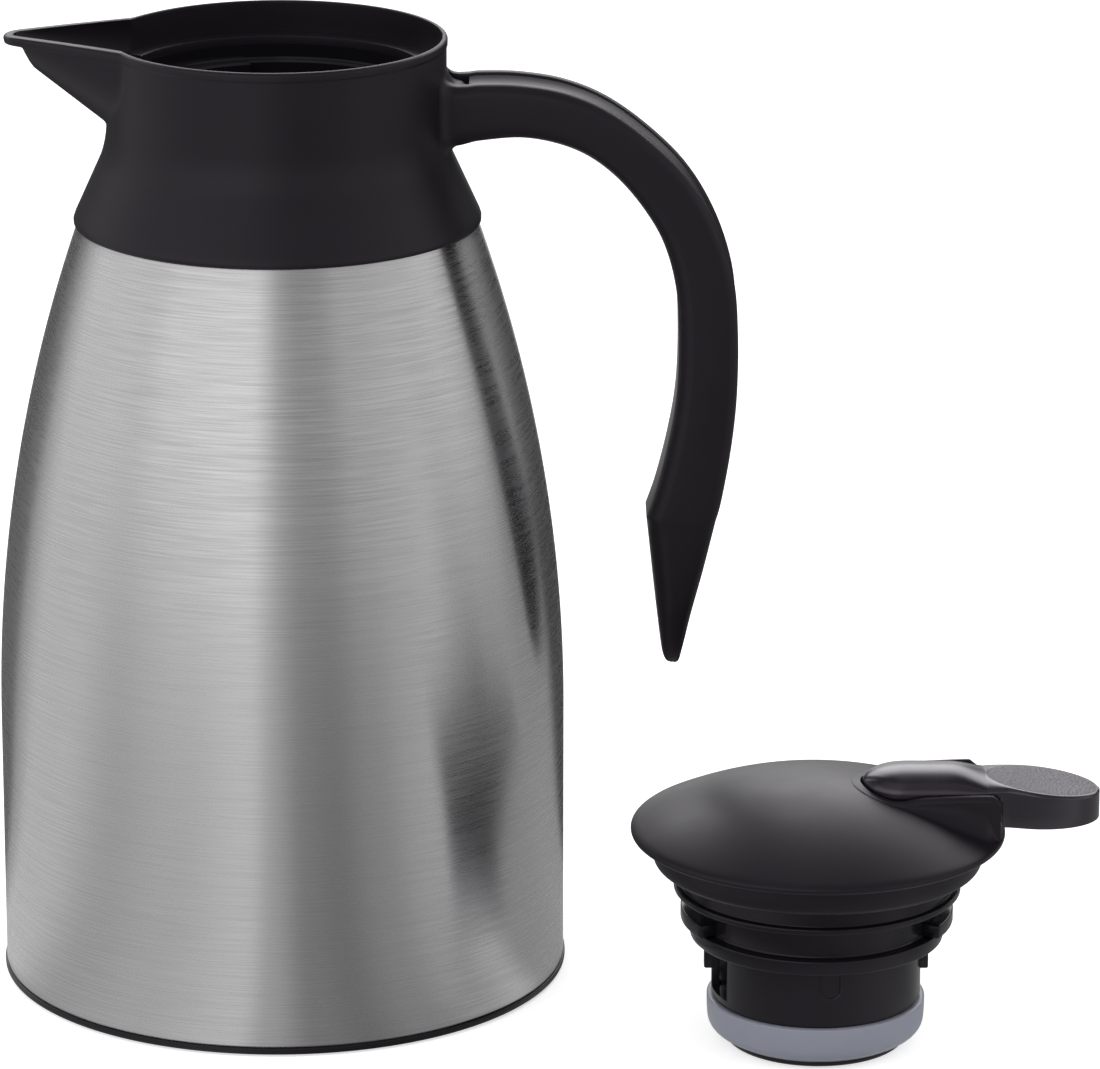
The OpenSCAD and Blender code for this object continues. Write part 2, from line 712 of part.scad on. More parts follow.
module thumb_lever() {
    hub_r = arm_z - pivot_z + 0.6;
    color(black) at_lid() difference() {
        union() {
            difference() {
                union() {
                    translate([0, 0, arm_z]) linear_extrude(arm_side) arm_outline(0, pod_end_x);
                    arm_crown();
                    difference() {
                        translate([pad_x, 0, pad_z]) scale([1, pad_half_w / pad_r, 1])
                            cylinder(r = pad_r, h = 14, $fn = 120);
                        translate([pad_in_x - 30, -20, pad_z - 1]) cube([30, 40, arm_z - pad_z + 1]);
                    }
                }
                translate([pad_x, 0, pad_z + pad_t]) rotate([0, pad_slope, 0])
                    translate([-30, -20, 0]) cube([60, 40, 20]);
            }
            translate([pivot_x, 0, pivot_z]) rotate([90, 0, 0])
                cylinder(r = hub_r - 1, h = arm_w - 1, center = true, $fn = small);
            translate([pivot_x - 2.4, -arm_w / 2 + 0.5, pivot_z]) cube([4.8, arm_w - 1, arm_z - pivot_z + 1]);
            lever_tongue();
        }
        translate([pivot_x, 0, pivot_z]) rotate([90, 0, 0])
            cylinder(r = pin_r + run_fit, h = 40, center = true, $fn = small);
        translate([-20, -stem_r - 0.7, tongue_z - 5]) cube([20 + stem_r + 2.2, 2 * stem_r + 1.4, 20]);
    }
}

// the rounded upper part of the arm
module arm_crown() {
    rise = arm_t - arm_side;
    intersection() {
        translate([0, 0, arm_z + arm_side - 0.1]) linear_extrude(rise + 1) arm_outline(0, pod_end_x);
        translate([arm_end_x - 1, 0, arm_z + arm_side]) scale([1, 1, rise / (arm_w / 2)])
            rotate([0, 90, 0]) cylinder(r = arm_w / 2, h = pod_end_x - arm_end_x + 1, $fn = 96);
    }
}

// the arm inside the lid that ends in a fork under the stem's cap
module lever_tongue() {
    translate([0, 5, 0]) rotate([90, 0, 0]) linear_extrude(10)
        polygon([[-3.4, tongue_z], [5, tongue_z], [pivot_x - 3.4, pivot_z - 2.4], [pivot_x, pivot_z - 2.4],
                 [pivot_x, pivot_z + 0.2], [pivot_x - 5, pivot_z + 0.2], [5, tongue_z + tongue_t],
                 [-3.4, tongue_z + tongue_t]]);
}

module neck_seal() {
    color(silicone) at_lid() turned(concat(
        [[spigot_r, foot_t], [foot_r, foot_t]],
        arc_pts([seal_r - 4.2, foot_t + 4.2], 4.2, 4.2, 270, 360, 6),
        [[seal_r, seal_top - 0.6], [seal_r - 0.4, seal_top], [spigot_r, seal_top]]));
}

module seal_retainer() {
    socket_r = spigot_r - spigot_wall;
    color(deep_black) at_lid() turned([[inlet_r, 0], [foot_r - 0.4, 0], [foot_r, 0.4], [foot_r, foot_t],
        [socket_r, foot_t], [socket_r, socket_h], [socket_r - socket_wall, socket_h],
        [socket_r - socket_wall, seat_z], [inlet_r, seat_z]]);
}

// ---------------------------------------------------------------- valve

module valve_stem() {
    color(steel) at_lid() translate([0, 0, poppet_z]) cylinder(r = stem_r, h = cap_z - poppet_z, $fn = small);
}

module stem_cap() {
    color(deep_black) at_lid() translate([0, 0, cap_z]) cylinder(r = cap_r, h = cap_t, $fn = small);
}

module valve_poppet() {
    color(deep_black) at_lid() ring(poppet_r, stem_r, poppet_z, poppet_z + poppet_t, 96);
}

module poppet_gasket() {
    color(silicone) at_lid() translate([0, 0, poppet_z - gasket_disc_t])
        cylinder(r = poppet_r - 0.6, h = gasket_disc_t, $fn = 96);
}

// the spring: one helical wire with closed end turns
wire_sides = 6;
rings_per_turn = 8;
spring_rings = rings_per_turn * coil_turns;
spring_rise = spring_high - spring_low - wire_d - 0.1;
function spring_mid(k) = let (a = 360 * k / rings_per_turn)
    [coil_r * cos(a), coil_r * sin(a), spring_low + 0.05 + wire_d / 2 + spring_rise * k / spring_rings];
function spring_ring(k) = let (c = spring_mid(k), a = 360 * k / rings_per_turn)
    [for (i = [0:wire_sides - 1]) let (b = 360 * i / wire_sides)
        c + wire_d / 2 * [cos(b) * cos(a), cos(b) * sin(a), sin(b)]];
spring_gap = spring_rise / coil_turns - wire_d;
echo("spring: least gap between turns, mm", spring_gap);

module valve_spring() {
    color(steel) at_lid() skin([for (k = [0:spring_rings]) spring_ring(k)]);
}

// ---------------------------------------------------------------- assembly

outer_shell();
shell_base();
port_seal();
inner_liner();
getter();
base_cover();
collar();
neck_ring();
neck_gasket();
handle();
handle_cover();
handle_screws();
stopper_body();
lid_skirt();
lid_dome();
seal_retainer();
neck_seal();
lever_pin();
thumb_lever();
valve_stem();
stem_cap();
valve_poppet();
poppet_gasket();
valve_spring();
stem_seal();
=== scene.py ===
"""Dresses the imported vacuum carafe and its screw-in stopper lid, and lights them in a pale studio.

Sizes are in millimetres in the part's own frame, and Maker turns them into metres. The carafe stands on
its base at the origin, its spout points along -X and its handle along +X. The lid stands beside it on its
own base.
"""

import logging
import math
from dataclasses import dataclass, field
from enum import Enum
from typing import Callable, Optional, Sequence

import bmesh
import bpy
from mathutils import Matrix, Vector


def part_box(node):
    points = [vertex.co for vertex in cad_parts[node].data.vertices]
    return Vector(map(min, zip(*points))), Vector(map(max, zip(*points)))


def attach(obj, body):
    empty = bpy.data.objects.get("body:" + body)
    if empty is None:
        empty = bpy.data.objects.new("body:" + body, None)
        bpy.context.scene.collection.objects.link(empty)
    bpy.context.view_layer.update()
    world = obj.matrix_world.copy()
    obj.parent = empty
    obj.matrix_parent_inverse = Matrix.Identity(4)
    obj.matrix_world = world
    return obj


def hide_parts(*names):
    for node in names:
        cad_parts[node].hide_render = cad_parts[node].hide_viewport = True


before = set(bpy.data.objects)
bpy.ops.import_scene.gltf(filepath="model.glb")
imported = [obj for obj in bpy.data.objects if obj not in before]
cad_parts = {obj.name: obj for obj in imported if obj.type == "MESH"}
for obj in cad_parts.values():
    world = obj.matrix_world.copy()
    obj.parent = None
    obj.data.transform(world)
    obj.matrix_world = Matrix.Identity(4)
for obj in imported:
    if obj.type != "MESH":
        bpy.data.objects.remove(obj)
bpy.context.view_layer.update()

LOG = logging.getLogger("carafe")
MM = 0.001

Pair = tuple[float, float]
Triple = tuple[float, float, float]


class Body(Enum):
    """The bodies that the pieces ride on."""

    CARAFE = "carafe"
    LID = "lid"
    LEVER = "lever"
    VALVE = "valve"


# ---------------------------------------------------------------- outlines


def arc(centre: Pair, radii: Pair, start: float, end: float, steps: int) -> list[Pair]:
    """Points on an ellipse's arc.

    Args:
        centre: the arc's centre.
        radii: its two half axes.
        start: first angle in degrees.
        end: last angle in degrees.
        steps: how many pieces the arc is cut into.

    Returns:
        The points from start to end, steps + 1 of them.
    """
    angles = [math.radians(start + (end - start) * i / steps) for i in range(steps + 1)]
    return [(centre[0] + radii[0] * math.cos(a), centre[1] + radii[1] * math.sin(a)) for a in angles]


def rounded(corners: Sequence[tuple], closed: bool = True, steps: int = 4) -> list[Pair]:
    """An outline whose corners are eased by their own fillets.

    Args:
        corners: (r, z) or (r, z, fillet) for each corner.
        closed: whether the last corner joins the first.
        steps: pieces in each fillet.

    Returns:
        The outline's points.
    """
    made: list[Pair] = []
    n = len(corners)
    for i, corner in enumerate(corners):
        ease = corner[2] if len(corner) > 2 else 0.0
        here = Vector(corner[:2])
        if ease <= 0 or (not closed and i in (0, n - 1)):
            made.append((here.x, here.y))
            continue
        back, ahead = Vector(corners[i - 1][:2]) - here, Vector(corners[(i + 1) % n][:2]) - here
        reach = min(ease, back.length * 0.49, ahead.length * 0.49)
        a, b = here + back.normalized() * reach, here + ahead.normalized() * reach
        for k in range(steps + 1):
            t = k / steps
            p = a * (1 - t) ** 2 + here * 2 * t * (1 - t) + b * t * t
            made.append((p.x, p.y))
    return made


def spline(points: Sequence[Sequence[float]], steps: int) -> list[list[float]]:
    """A smooth curve through points of any dimension.

    Args:
        points: the points that it passes through.
        steps: pieces between two points.

    Returns:
        The curve's points, the given ones among them.
    """
    made = []
    last = len(points) - 1
    for i in range(last):
        a, b, c, d = (points[max(i - 1, 0)], points[i], points[i + 1], points[min(i + 2, last)])
        for k in range(steps):
            t = k / steps
            made.append([0.5 * (2 * q + (r - p) * t + (2 * p - 5 * q + 4 * r - s) * t * t
                                + (3 * q - p - 3 * r + s) * t ** 3) for p, q, r, s in zip(a, b, c, d)])
    return made + [list(points[last])]


def between(value: float, low: float, high: float) -> float:
    """How far value lies from low to high, eased at both ends, from 0 to 1."""
    t = min(max((value - low) / (high - low), 0.0), 1.0)
    return t * t * (3 - 2 * t)


def read_at(points: Sequence[Pair], z: float) -> float:
    """The radius at height z of an outline whose heights only rise."""
    if z <= points[0][1]:
        return points[0][0]
    for (r0, z0), (r1, z1) in zip(points, points[1:]):
        if z <= z1:
            return r0 + (r1 - r0) * (z - z0) / max(z1 - z0, 1e-9)
    return points[-1][0]


# ---------------------------------------------------------------- geometry nodes


class Tree:
    """Builds one Geometry Nodes tree that ends in Realize Instances and Set Material."""

    def __init__(self, name: str, inputs: Sequence[tuple[str, str]]) -> None:
        """Makes the tree with its named inputs.

        Args:
            name: the tree's name.
            inputs: (name, socket type) of each input after the geometry and before the material.
        """
        self.tree = bpy.data.node_groups.new(name, "GeometryNodeTree")
        face = self.tree.interface
        self.sockets: dict[str, str] = {}
        for label, kind in [("Geometry", "NodeSocketGeometry"), *inputs,
                            ("Material", "NodeSocketMaterial")]:
            self.sockets[label] = face.new_socket(name=label, in_out="INPUT", socket_type=kind).identifier
        face.new_socket(name="Geometry", in_out="OUTPUT", socket_type="NodeSocketGeometry")
        self.start = self.add("NodeGroupInput")

    def add(self, kind: str, **links: object) -> bpy.types.Node:
        """Adds a node; links give its sockets a socket or a value, and settings give its options."""
        node = self.tree.nodes.new(kind)
        for key, value in links.pop("settings", {}).items():
            setattr(node, key, value)
        for key, value in links.items():
            socket = node.inputs[int(key[1:])] if key[1:].isdigit() else node.inputs[key.replace("_", " ")]
            if isinstance(value, bpy.types.NodeSocket):
                self.tree.links.new(value, socket)
            else:
                socket.default_value = value
        return node

    def finish(self, geometry: bpy.types.NodeSocket) -> "Tree":
        """Ends the tree on this geometry.

        Args:
            geometry: the socket that gives the made geometry.

        Returns:
            The tree itself.
        """
        real = self.add("GeometryNodeRealizeInstances", Geometry=geometry)
        dressed = self.add("GeometryNodeSetMaterial", Geometry=real.outputs[0],
                           Material=self.start.outputs["Material"])
        end = self.tree.nodes.new("NodeGroupOutput")
        self.tree.links.new(dressed.outputs[0], end.inputs["Geometry"])
        return self


def turning_tree() -> Tree:
    """The tree that turns an outline, given as vertices in the XZ plane, round the Z axis."""
    tree = Tree("turned_round_axis", [("Segments", "NodeSocketInt")])
    start = tree.start.outputs
    count = tree.add("GeometryNodeAttributeDomainSize", Geometry=start["Geometry"]).outputs["Point Count"]
    columns = tree.add("FunctionNodeIntegerMath", settings={"operation": "ADD"}, i0=start["Segments"], i1=1)
    grid = tree.add("GeometryNodeMeshGrid", Vertices_X=columns.outputs[0], Vertices_Y=count)
    index = tree.add("GeometryNodeInputIndex").outputs[0]
    column = tree.add("FunctionNodeIntegerMath", settings={"operation": "DIVIDE"}, i0=index, i1=count)
    row = tree.add("FunctionNodeIntegerMath", settings={"operation": "MODULO"}, i0=index, i1=count)
    place = tree.add("GeometryNodeInputPosition").outputs[0]
    point = tree.add("GeometryNodeSampleIndex", settings={"data_type": "FLOAT_VECTOR"},
                     Geometry=start["Geometry"],
                     Value=place, Index=row.outputs[0])
    parts = tree.add("ShaderNodeSeparateXYZ", Vector=point.outputs[0]).outputs
    share = tree.add("ShaderNodeMath", settings={"operation": "DIVIDE"}, i0=column.outputs[0],
                     i1=start["Segments"])
    angle = tree.add("ShaderNodeMath", settings={"operation": "MULTIPLY"}, i0=share.outputs[0],
                     i1=math.tau).outputs[0]
    sides = [tree.add("ShaderNodeMath", settings={"operation": "MULTIPLY"}, i0=parts["X"], i1=tree.add(
        "ShaderNodeMath", settings={"operation": kind},
        i0=angle).outputs[0]).outputs[0] for kind in ("COSINE", "SINE")]
    where = tree.add("ShaderNodeCombineXYZ", X=sides[0], Y=sides[1], Z=parts["Z"])
    moved = tree.add("GeometryNodeSetPosition", Geometry=grid.outputs["Mesh"], Position=where.outputs[0])
    merged = tree.add("GeometryNodeMergeByDistance", Geometry=moved.outputs[0], Distance=2e-6)
    return tree.finish(merged.outputs[0])


def coil_tree() -> Tree:
    """The tree that winds a round wire into a spring."""
    floats = ["Coil Radius", "Wire Radius", "Rise", "Turns"]
    tree = Tree("wound_spring", [(name, "NodeSocketFloat") for name in floats])
    start = tree.start.outputs
    helix = tree.add("GeometryNodeCurveSpiral", Resolution=40, Rotations=start["Turns"],
                     Start_Radius=start["Coil Radius"], End_Radius=start["Coil Radius"],
                     Height=start["Rise"])
    wire = tree.add("GeometryNodeCurvePrimitiveCircle", Resolution=12, Radius=start["Wire Radius"])
    wound = tree.add("GeometryNodeCurveToMesh", Curve=helix.outputs[0], Profile_Curve=wire.outputs[0],
                     Fill_Caps=True)
    return tree.finish(wound.outputs[0])


def pair_tree() -> Tree:
    """The tree that sets copies of the object's own mesh along a line, from a start point by a step."""
    tree = Tree("set_in_a_row", [("Count", "NodeSocketInt"), ("Start", "NodeSocketVector"),
                                 ("Step", "NodeSocketVector")])
    start = tree.start.outputs
    line = tree.add("GeometryNodeMeshLine", Count=start["Count"], Start_Location=start["Start"],
                    Offset=start["Step"])
    copies = tree.add("GeometryNodeInstanceOnPoints", Points=line.outputs[0], Instance=start["Geometry"])
    return tree.finish(copies.outputs[0])


# ---------------------------------------------------------------- making pieces


class Maker:
    """Makes meshes from sizes in millimetres, dresses them and sets them on their bodies."""

    def __init__(self) -> None:
        """Builds the node trees that the pieces share."""
        self.turning = turning_tree()
        self.coil = coil_tree()
        self.row = pair_tree()

    def mesh(self, name: str, points: Sequence[Triple], faces: Sequence[Sequence[int]],
             sharp: float = 38.0, mend: bool = True) -> bpy.types.Object:
        """A closed mesh with its faces outwards.

        Args:
            name: the piece's name.
            points: its vertices in millimetres.
            faces: its faces.
            sharp: edges that turn by more than this many degrees stay sharp.
            mend: whether doubles are merged and the faces turned outwards.

        Returns:
            The new object.
        """
        data = bpy.data.meshes.new(name)
        data.from_pydata([(x * MM, y * MM, z * MM) for x, y, z in points], [], [list(f) for f in faces])
        piece = bpy.data.objects.new(name, data)
        bpy.context.scene.collection.objects.link(piece)
        if mend:
            self.mend(piece, sharp)
        return piece

    @staticmethod
    def mend(piece: bpy.types.Object, sharp: float = 38.0, close: float = 2e-6) -> None:
        """Merges doubles, turns faces outwards and shades the piece smoothly, apart from sharp edges."""
        work = bmesh.new()
        work.from_mesh(piece.data)
        bmesh.ops.remove_doubles(work, verts=work.verts, dist=close)
        bmesh.ops.dissolve_degenerate(work, edges=work.edges, dist=1e-7)
        bmesh.ops.recalc_face_normals(work, faces=work.faces)
        work.to_mesh(piece.data)
        work.free()
        piece.data.shade_smooth()
        piece.data.set_sharp_from_angle(angle=math.radians(sharp))

    def bake(self, piece: bpy.types.Object, tree: Optional[Tree] = None,
             **values: object) -> bpy.types.Object:
        """Puts the result of a tree, or of the modifiers that are there, into the piece's own mesh.

        Args:
            piece: the object to bake.
            tree: a node tree to run last, or None.
            values: its inputs by name, with _ for a space.

        Returns:
            The same object, without modifiers.
        """
        if tree is not None:
            modifier = piece.modifiers.new("made", "NODES")
            modifier.node_group = tree.tree
            for key, value in values.items():
                modifier[tree.sockets[key.replace("_", " ")]] = value
        graph = bpy.context.evaluated_depsgraph_get()
        graph.update()
        data = bpy.data.meshes.new_from_object(piece.evaluated_get(graph), depsgraph=graph)
        old = piece.data
        piece.modifiers.clear()
        piece.data = data
        bpy.data.meshes.remove(old)
        data.name = piece.name
        return piece

    def turned(self, name: str, outline: Sequence[Pair], closed: bool = True, segments: int = 144,
               centre: Pair = (0.0, 0.0), sharp: float = 38.0) -> bpy.types.Object:
        """A piece turned round an upright axis.

        Args:
            name: the piece's name.
            outline: its (r, z) points.
            closed: whether the outline returns to its start, as it does where the piece has a hole.
            segments: columns round the axis.
            centre: where the axis stands.
            sharp: the angle past which edges stay sharp.

        Returns:
            The new object.
        """
        ring = list(outline) + [outline[0]] if closed else list(outline)
        piece = self.mesh(name, [(r, 0.0, z) for r, z in ring], [], mend=False)
        self.bake(piece, self.turning, Segments=segments)
        piece.data.transform(Matrix.Translation((centre[0] * MM, centre[1] * MM, 0)))
        self.mend(piece, sharp)
        return piece

    def loft(self, name: str, rings: Sequence[Sequence[Triple]], loop: bool = False,
             sharp: float = 38.0) -> bpy.types.Object:
        """A skin over closed rings of equal point counts.

        Args:
            name: the piece's name.
            rings: the rings, each a closed line of points.
            loop: whether the last ring joins the first; the ends are capped if not.
            sharp: the angle past which edges stay sharp.

        Returns:
            The new object.
        """
        n, m = len(rings[0]), len(rings)
        faces: list[Sequence[int]] = []
        for j in range(m if loop else m - 1):
            a, b = j * n, ((j + 1) % m) * n
            faces += [(a + i, a + (i + 1) % n, b + (i + 1) % n, b + i) for i in range(n)]
        if not loop:
            faces += [tuple(range(n)), tuple(range((m - 1) * n, m * n))]
        return self.mesh(name, [p for ring in rings for p in ring], faces, sharp)

    def section_loft(self, name: str, angles: Sequence[float], section: Callable[[float], Sequence[Pair]],
                     centre: Pair = (0.0, 0.0), sharp: float = 38.0) -> bpy.types.Object:
        """A turned piece whose section changes with the angle.

        Args:
            name: the piece's name.
            angles: the angles of the columns in degrees, rising through a full turn.
            section: gives the closed (r, z) section at an angle, always with as many points.
            centre: where the axis stands.
            sharp: the angle past which edges stay sharp.

        Returns:
            The new object.
        """
        rings = []
        for a in angles:
            c, s = math.cos(math.radians(a)), math.sin(math.radians(a))
            rings.append([(centre[0] + r * c, centre[1] + r * s, z) for r, z in section(a)])
        return self.loft(name, rings, loop=True, sharp=sharp)

    def prism(self, name: str, outline: Sequence[Pair], low: float, high: float,
              ease: float = 0.0) -> bpy.types.Object:
        """An upright prism over an outline, with its edges eased.

        Args:
            name: the piece's name.
            outline: the (x, y) points of its foot.
            low: height of the foot.
            high: height of the top.
            ease: width of the bevel along its edges, 0 for none.

        Returns:
            The new object.
        """
        piece = self.loft(name, [[(x, y, low) for x, y in outline], [(x, y, high) for x, y in outline]])
        return self.eased(piece, ease) if ease else piece

    def eased(self, piece: bpy.types.Object, width: float, limit: float = 40.0,
              steps: int = 3) -> bpy.types.Object:
        """Bevels the sharp edges of a piece by width, and bakes the result."""
        bevel = piece.modifiers.new("eased", "BEVEL")
        bevel.width, bevel.segments = width * MM, steps
        bevel.limit_method, bevel.angle_limit = "ANGLE", math.radians(limit)
        bevel.harden_normals = False
        self.bake(piece)
        self.mend(piece, 46.0, 1e-7)
        return piece

    def cut(self, piece: bpy.types.Object, *tools: bpy.types.Object) -> bpy.types.Object:
        """Takes the tools' shapes out of the piece and removes the tools."""
        for tool in tools:
            modifier = piece.modifiers.new("cut", "BOOLEAN")
            modifier.operation, modifier.solver, modifier.object = "DIFFERENCE", "EXACT", tool
        self.bake(piece)
        for tool in tools:
            bpy.data.objects.remove(tool)
        self.mend(piece, 38.0, 1e-7)
        return piece

    @staticmethod
    def join(name: str, pieces: Sequence[bpy.types.Object]) -> bpy.types.Object:
        """One object from several, under this name."""
        work = bmesh.new()
        for piece in pieces:
            work.from_mesh(piece.data)
        data = bpy.data.meshes.new(name)
        work.to_mesh(data)
        work.free()
        for piece in pieces:
            bpy.data.objects.remove(piece)
        whole = bpy.data.objects.new(name, data)
        bpy.context.scene.collection.objects.link(whole)
        return whole

    @staticmethod
    def carried(node: str) -> bpy.types.Object:
        """A smoothly shaded copy of a CAD node, to be dressed in its stead."""
        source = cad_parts[node]
        copy = bpy.data.objects.new(node + "_piece", source.data.copy())
        bpy.context.scene.collection.objects.link(copy)
        Maker.mend(copy, 30.0, 1e-5)
        return copy

    @staticmethod
    def dress(piece: bpy.types.Object, body: Body, finish: "Finish", *nodes: str) -> bpy.types.Object:
        """Gives a piece its material, its body and the CAD nodes that it stands for.

        Args:
            piece: the object.
            body: the body that it rides on.
            finish: its finish.
            nodes: the CAD nodes that it replaces.

        Returns:
            The same object.
        """
        piece.data.materials.clear()
        piece.data.materials.append(finish.material())
        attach(piece, body.value)
        if nodes:
            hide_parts(*nodes)
        LOG.info("%s: %d faces on %s, for %s", piece.name, len(piece.data.polygons), body.value,
                 ", ".join(nodes) or "none")
        return piece


# ---------------------------------------------------------------- finishes


class Wiring:
    """Adds nodes to a shader tree and joins them."""

    def __init__(self, tree: bpy.types.NodeTree) -> None:
        """Keeps the tree that it wires."""
        self.tree = tree

    def add(self, kind: str, settings: Optional[dict] = None, **links: object) -> bpy.types.Node:
        """Adds a node.

        Args:
            kind: the node's type.
            settings: its options.
            links: its inputs by name, or as i0, i1 and so on; each a socket or a value.

        Returns:
            The node.
        """
        node = self.tree.nodes.new(kind)
        for key, value in (settings or {}).items():
            setattr(node, key, value)
        for key, value in links.items():
            socket = node.inputs[int(key[1:])] if key[1:].isdigit() else node.inputs[key.replace("_", " ")]
            if isinstance(value, bpy.types.NodeSocket):
                self.tree.links.new(value, socket)
            else:
                socket.default_value = value
        return node

    def math(self, kind: str, a: object, b: object = 0.0, clamp: bool = False) -> bpy.types.NodeSocket:
        """One Math node's result."""
        return self.add("ShaderNodeMath", {"operation": kind, "use_clamp": clamp}, i0=a, i1=b).outputs[0]

    def noise(self, place: bpy.types.NodeSocket, scale: object, detail: float = 3.0,
              roughness: float = 0.55) -> bpy.types.NodeSocket:
        """A Noise Texture's value."""
        return self.add("ShaderNodeTexNoise", None, Vector=place, Scale=scale, Detail=detail,
                        Roughness=roughness).outputs[0]

    def fit(self, value: bpy.types.NodeSocket, low: object, high: object,
            given: Pair = (0.3, 0.7)) -> bpy.types.NodeSocket:
        """Maps value from the given span onto low to high."""
        return self.add("ShaderNodeMapRange", None, Value=value, From_Min=given[0], From_Max=given[1],
                        To_Min=low, To_Max=high).outputs[0]


def effect_group(name: str, inputs: Sequence[tuple[str, float]], outputs: Sequence[str]) -> tuple[Wiring,
                                                                                                  dict,
                                                                                                  dict]:
    """Starts a shader group.

    Args:
        name: the group's name.
        inputs: name and default of each number that it takes; it always takes a Vector first.
        outputs: names of the values that it gives.

    Returns:
        Its wiring, its input sockets by name, and its output sockets by name.
    """
    tree = bpy.data.node_groups.new(name, "ShaderNodeTree")
    tree.interface.new_socket(name="Vector", in_out="INPUT", socket_type="NodeSocketVector")
    for label, value in inputs:
        tree.interface.new_socket(name=label, in_out="INPUT",
                                  socket_type="NodeSocketFloat").default_value = value
    for label in outputs:
        tree.interface.new_socket(name=label, in_out="OUTPUT", socket_type="NodeSocketFloat")
    start, end = tree.nodes.new("NodeGroupInput"), tree.nodes.new("NodeGroupOutput")
    return Wiring(tree), dict(start.outputs.items()), dict(end.inputs.items())


def brush_lines() -> bpy.types.NodeTree:
    """Fine lines that run round the Z axis, as a belt leaves them on turned steel."""
    wiring, given, out = effect_group("brush_lines", [("Lines", 1500.0), ("Length", 2.0)],
                                      ["Height", "Tone"])
    parts = wiring.add("ShaderNodeSeparateXYZ", None, Vector=given["Vector"]).outputs
    heights = []
    for share, stretch, detail in ((1.0, 1.0, 2.0), (0.27, 1.0, 3.0), (2.0, 30.0, 2.0)):
        tall = wiring.math("MULTIPLY", parts["Z"], wiring.math("MULTIPLY", given["Lines"], share))
        along = [wiring.math("MULTIPLY", parts[axis], wiring.math("MULTIPLY", given["Length"], stretch))
                 for axis in "XY"]
        place = wiring.add("ShaderNodeCombineXYZ", None, X=along[0], Y=along[1], Z=tall).outputs[0]
        heights.append(wiring.noise(place, 1.0, detail))
    both = wiring.math("ADD", wiring.math("MULTIPLY", heights[0], 0.8),
                       wiring.math("MULTIPLY", heights[1], 0.2))
    wiring.tree.links.new(both, out["Height"])
    wiring.tree.links.new(wiring.fit(heights[2], 0.0, 1.0, (0.3, 0.7)), out["Tone"])
    return wiring.tree


def moulded_grain() -> bpy.types.NodeTree:
    """The fine pebbled grain that a spark-eroded mould leaves on plastic."""
    wiring, given, out = effect_group("moulded_grain", [("Scale", 2600.0)], ["Height", "Tone"])
    fine = wiring.noise(given["Vector"], given["Scale"], 2.0, 0.6)
    broad = wiring.noise(given["Vector"], wiring.math("MULTIPLY", given["Scale"], 0.02), 3.0)
    wiring.tree.links.new(fine, out["Height"])
    wiring.tree.links.new(broad, out["Tone"])
    return wiring.tree


def handling_marks() -> bpy.types.NodeTree:
    """Soft broad smudges and a few thin hairlines from handling."""
    wiring, given, out = effect_group("handling_marks", [("Scale", 22.0)], ["Smudge", "Hairline"])
    smudge = wiring.noise(given["Vector"], given["Scale"], 4.0, 0.6)
    bent = wiring.add("ShaderNodeVectorMath", {"operation": "ADD"}, i0=given["Vector"], i1=wiring.add(
        "ShaderNodeVectorMath", {"operation": "SCALE"}, i0=wiring.add(
            "ShaderNodeTexNoise", None, Vector=given["Vector"], Scale=18.0).outputs[1],
            Scale=0.03).outputs[0]).outputs[0]
    edge = wiring.add("ShaderNodeTexVoronoi", {"feature": "DISTANCE_TO_EDGE"}, Vector=bent,
                      Scale=30.0).outputs[0]
    wiring.tree.links.new(wiring.fit(smudge, 0.0, 1.0, (0.4, 0.68)), out["Smudge"])
    wiring.tree.links.new(wiring.fit(edge, 1.0, 0.0, (0.0, 0.004)), out["Hairline"])
    return wiring.tree


class Effects:
    """The shared effect groups, each made once."""

    made: dict[str, bpy.types.NodeTree] = {}

    @classmethod
    def get(cls, builder: Callable[[], bpy.types.NodeTree]) -> bpy.types.NodeTree:
        """The group that builder makes, made on its first use."""
        if builder.__name__ not in cls.made:
            cls.made[builder.__name__] = builder()
        return cls.made[builder.__name__]


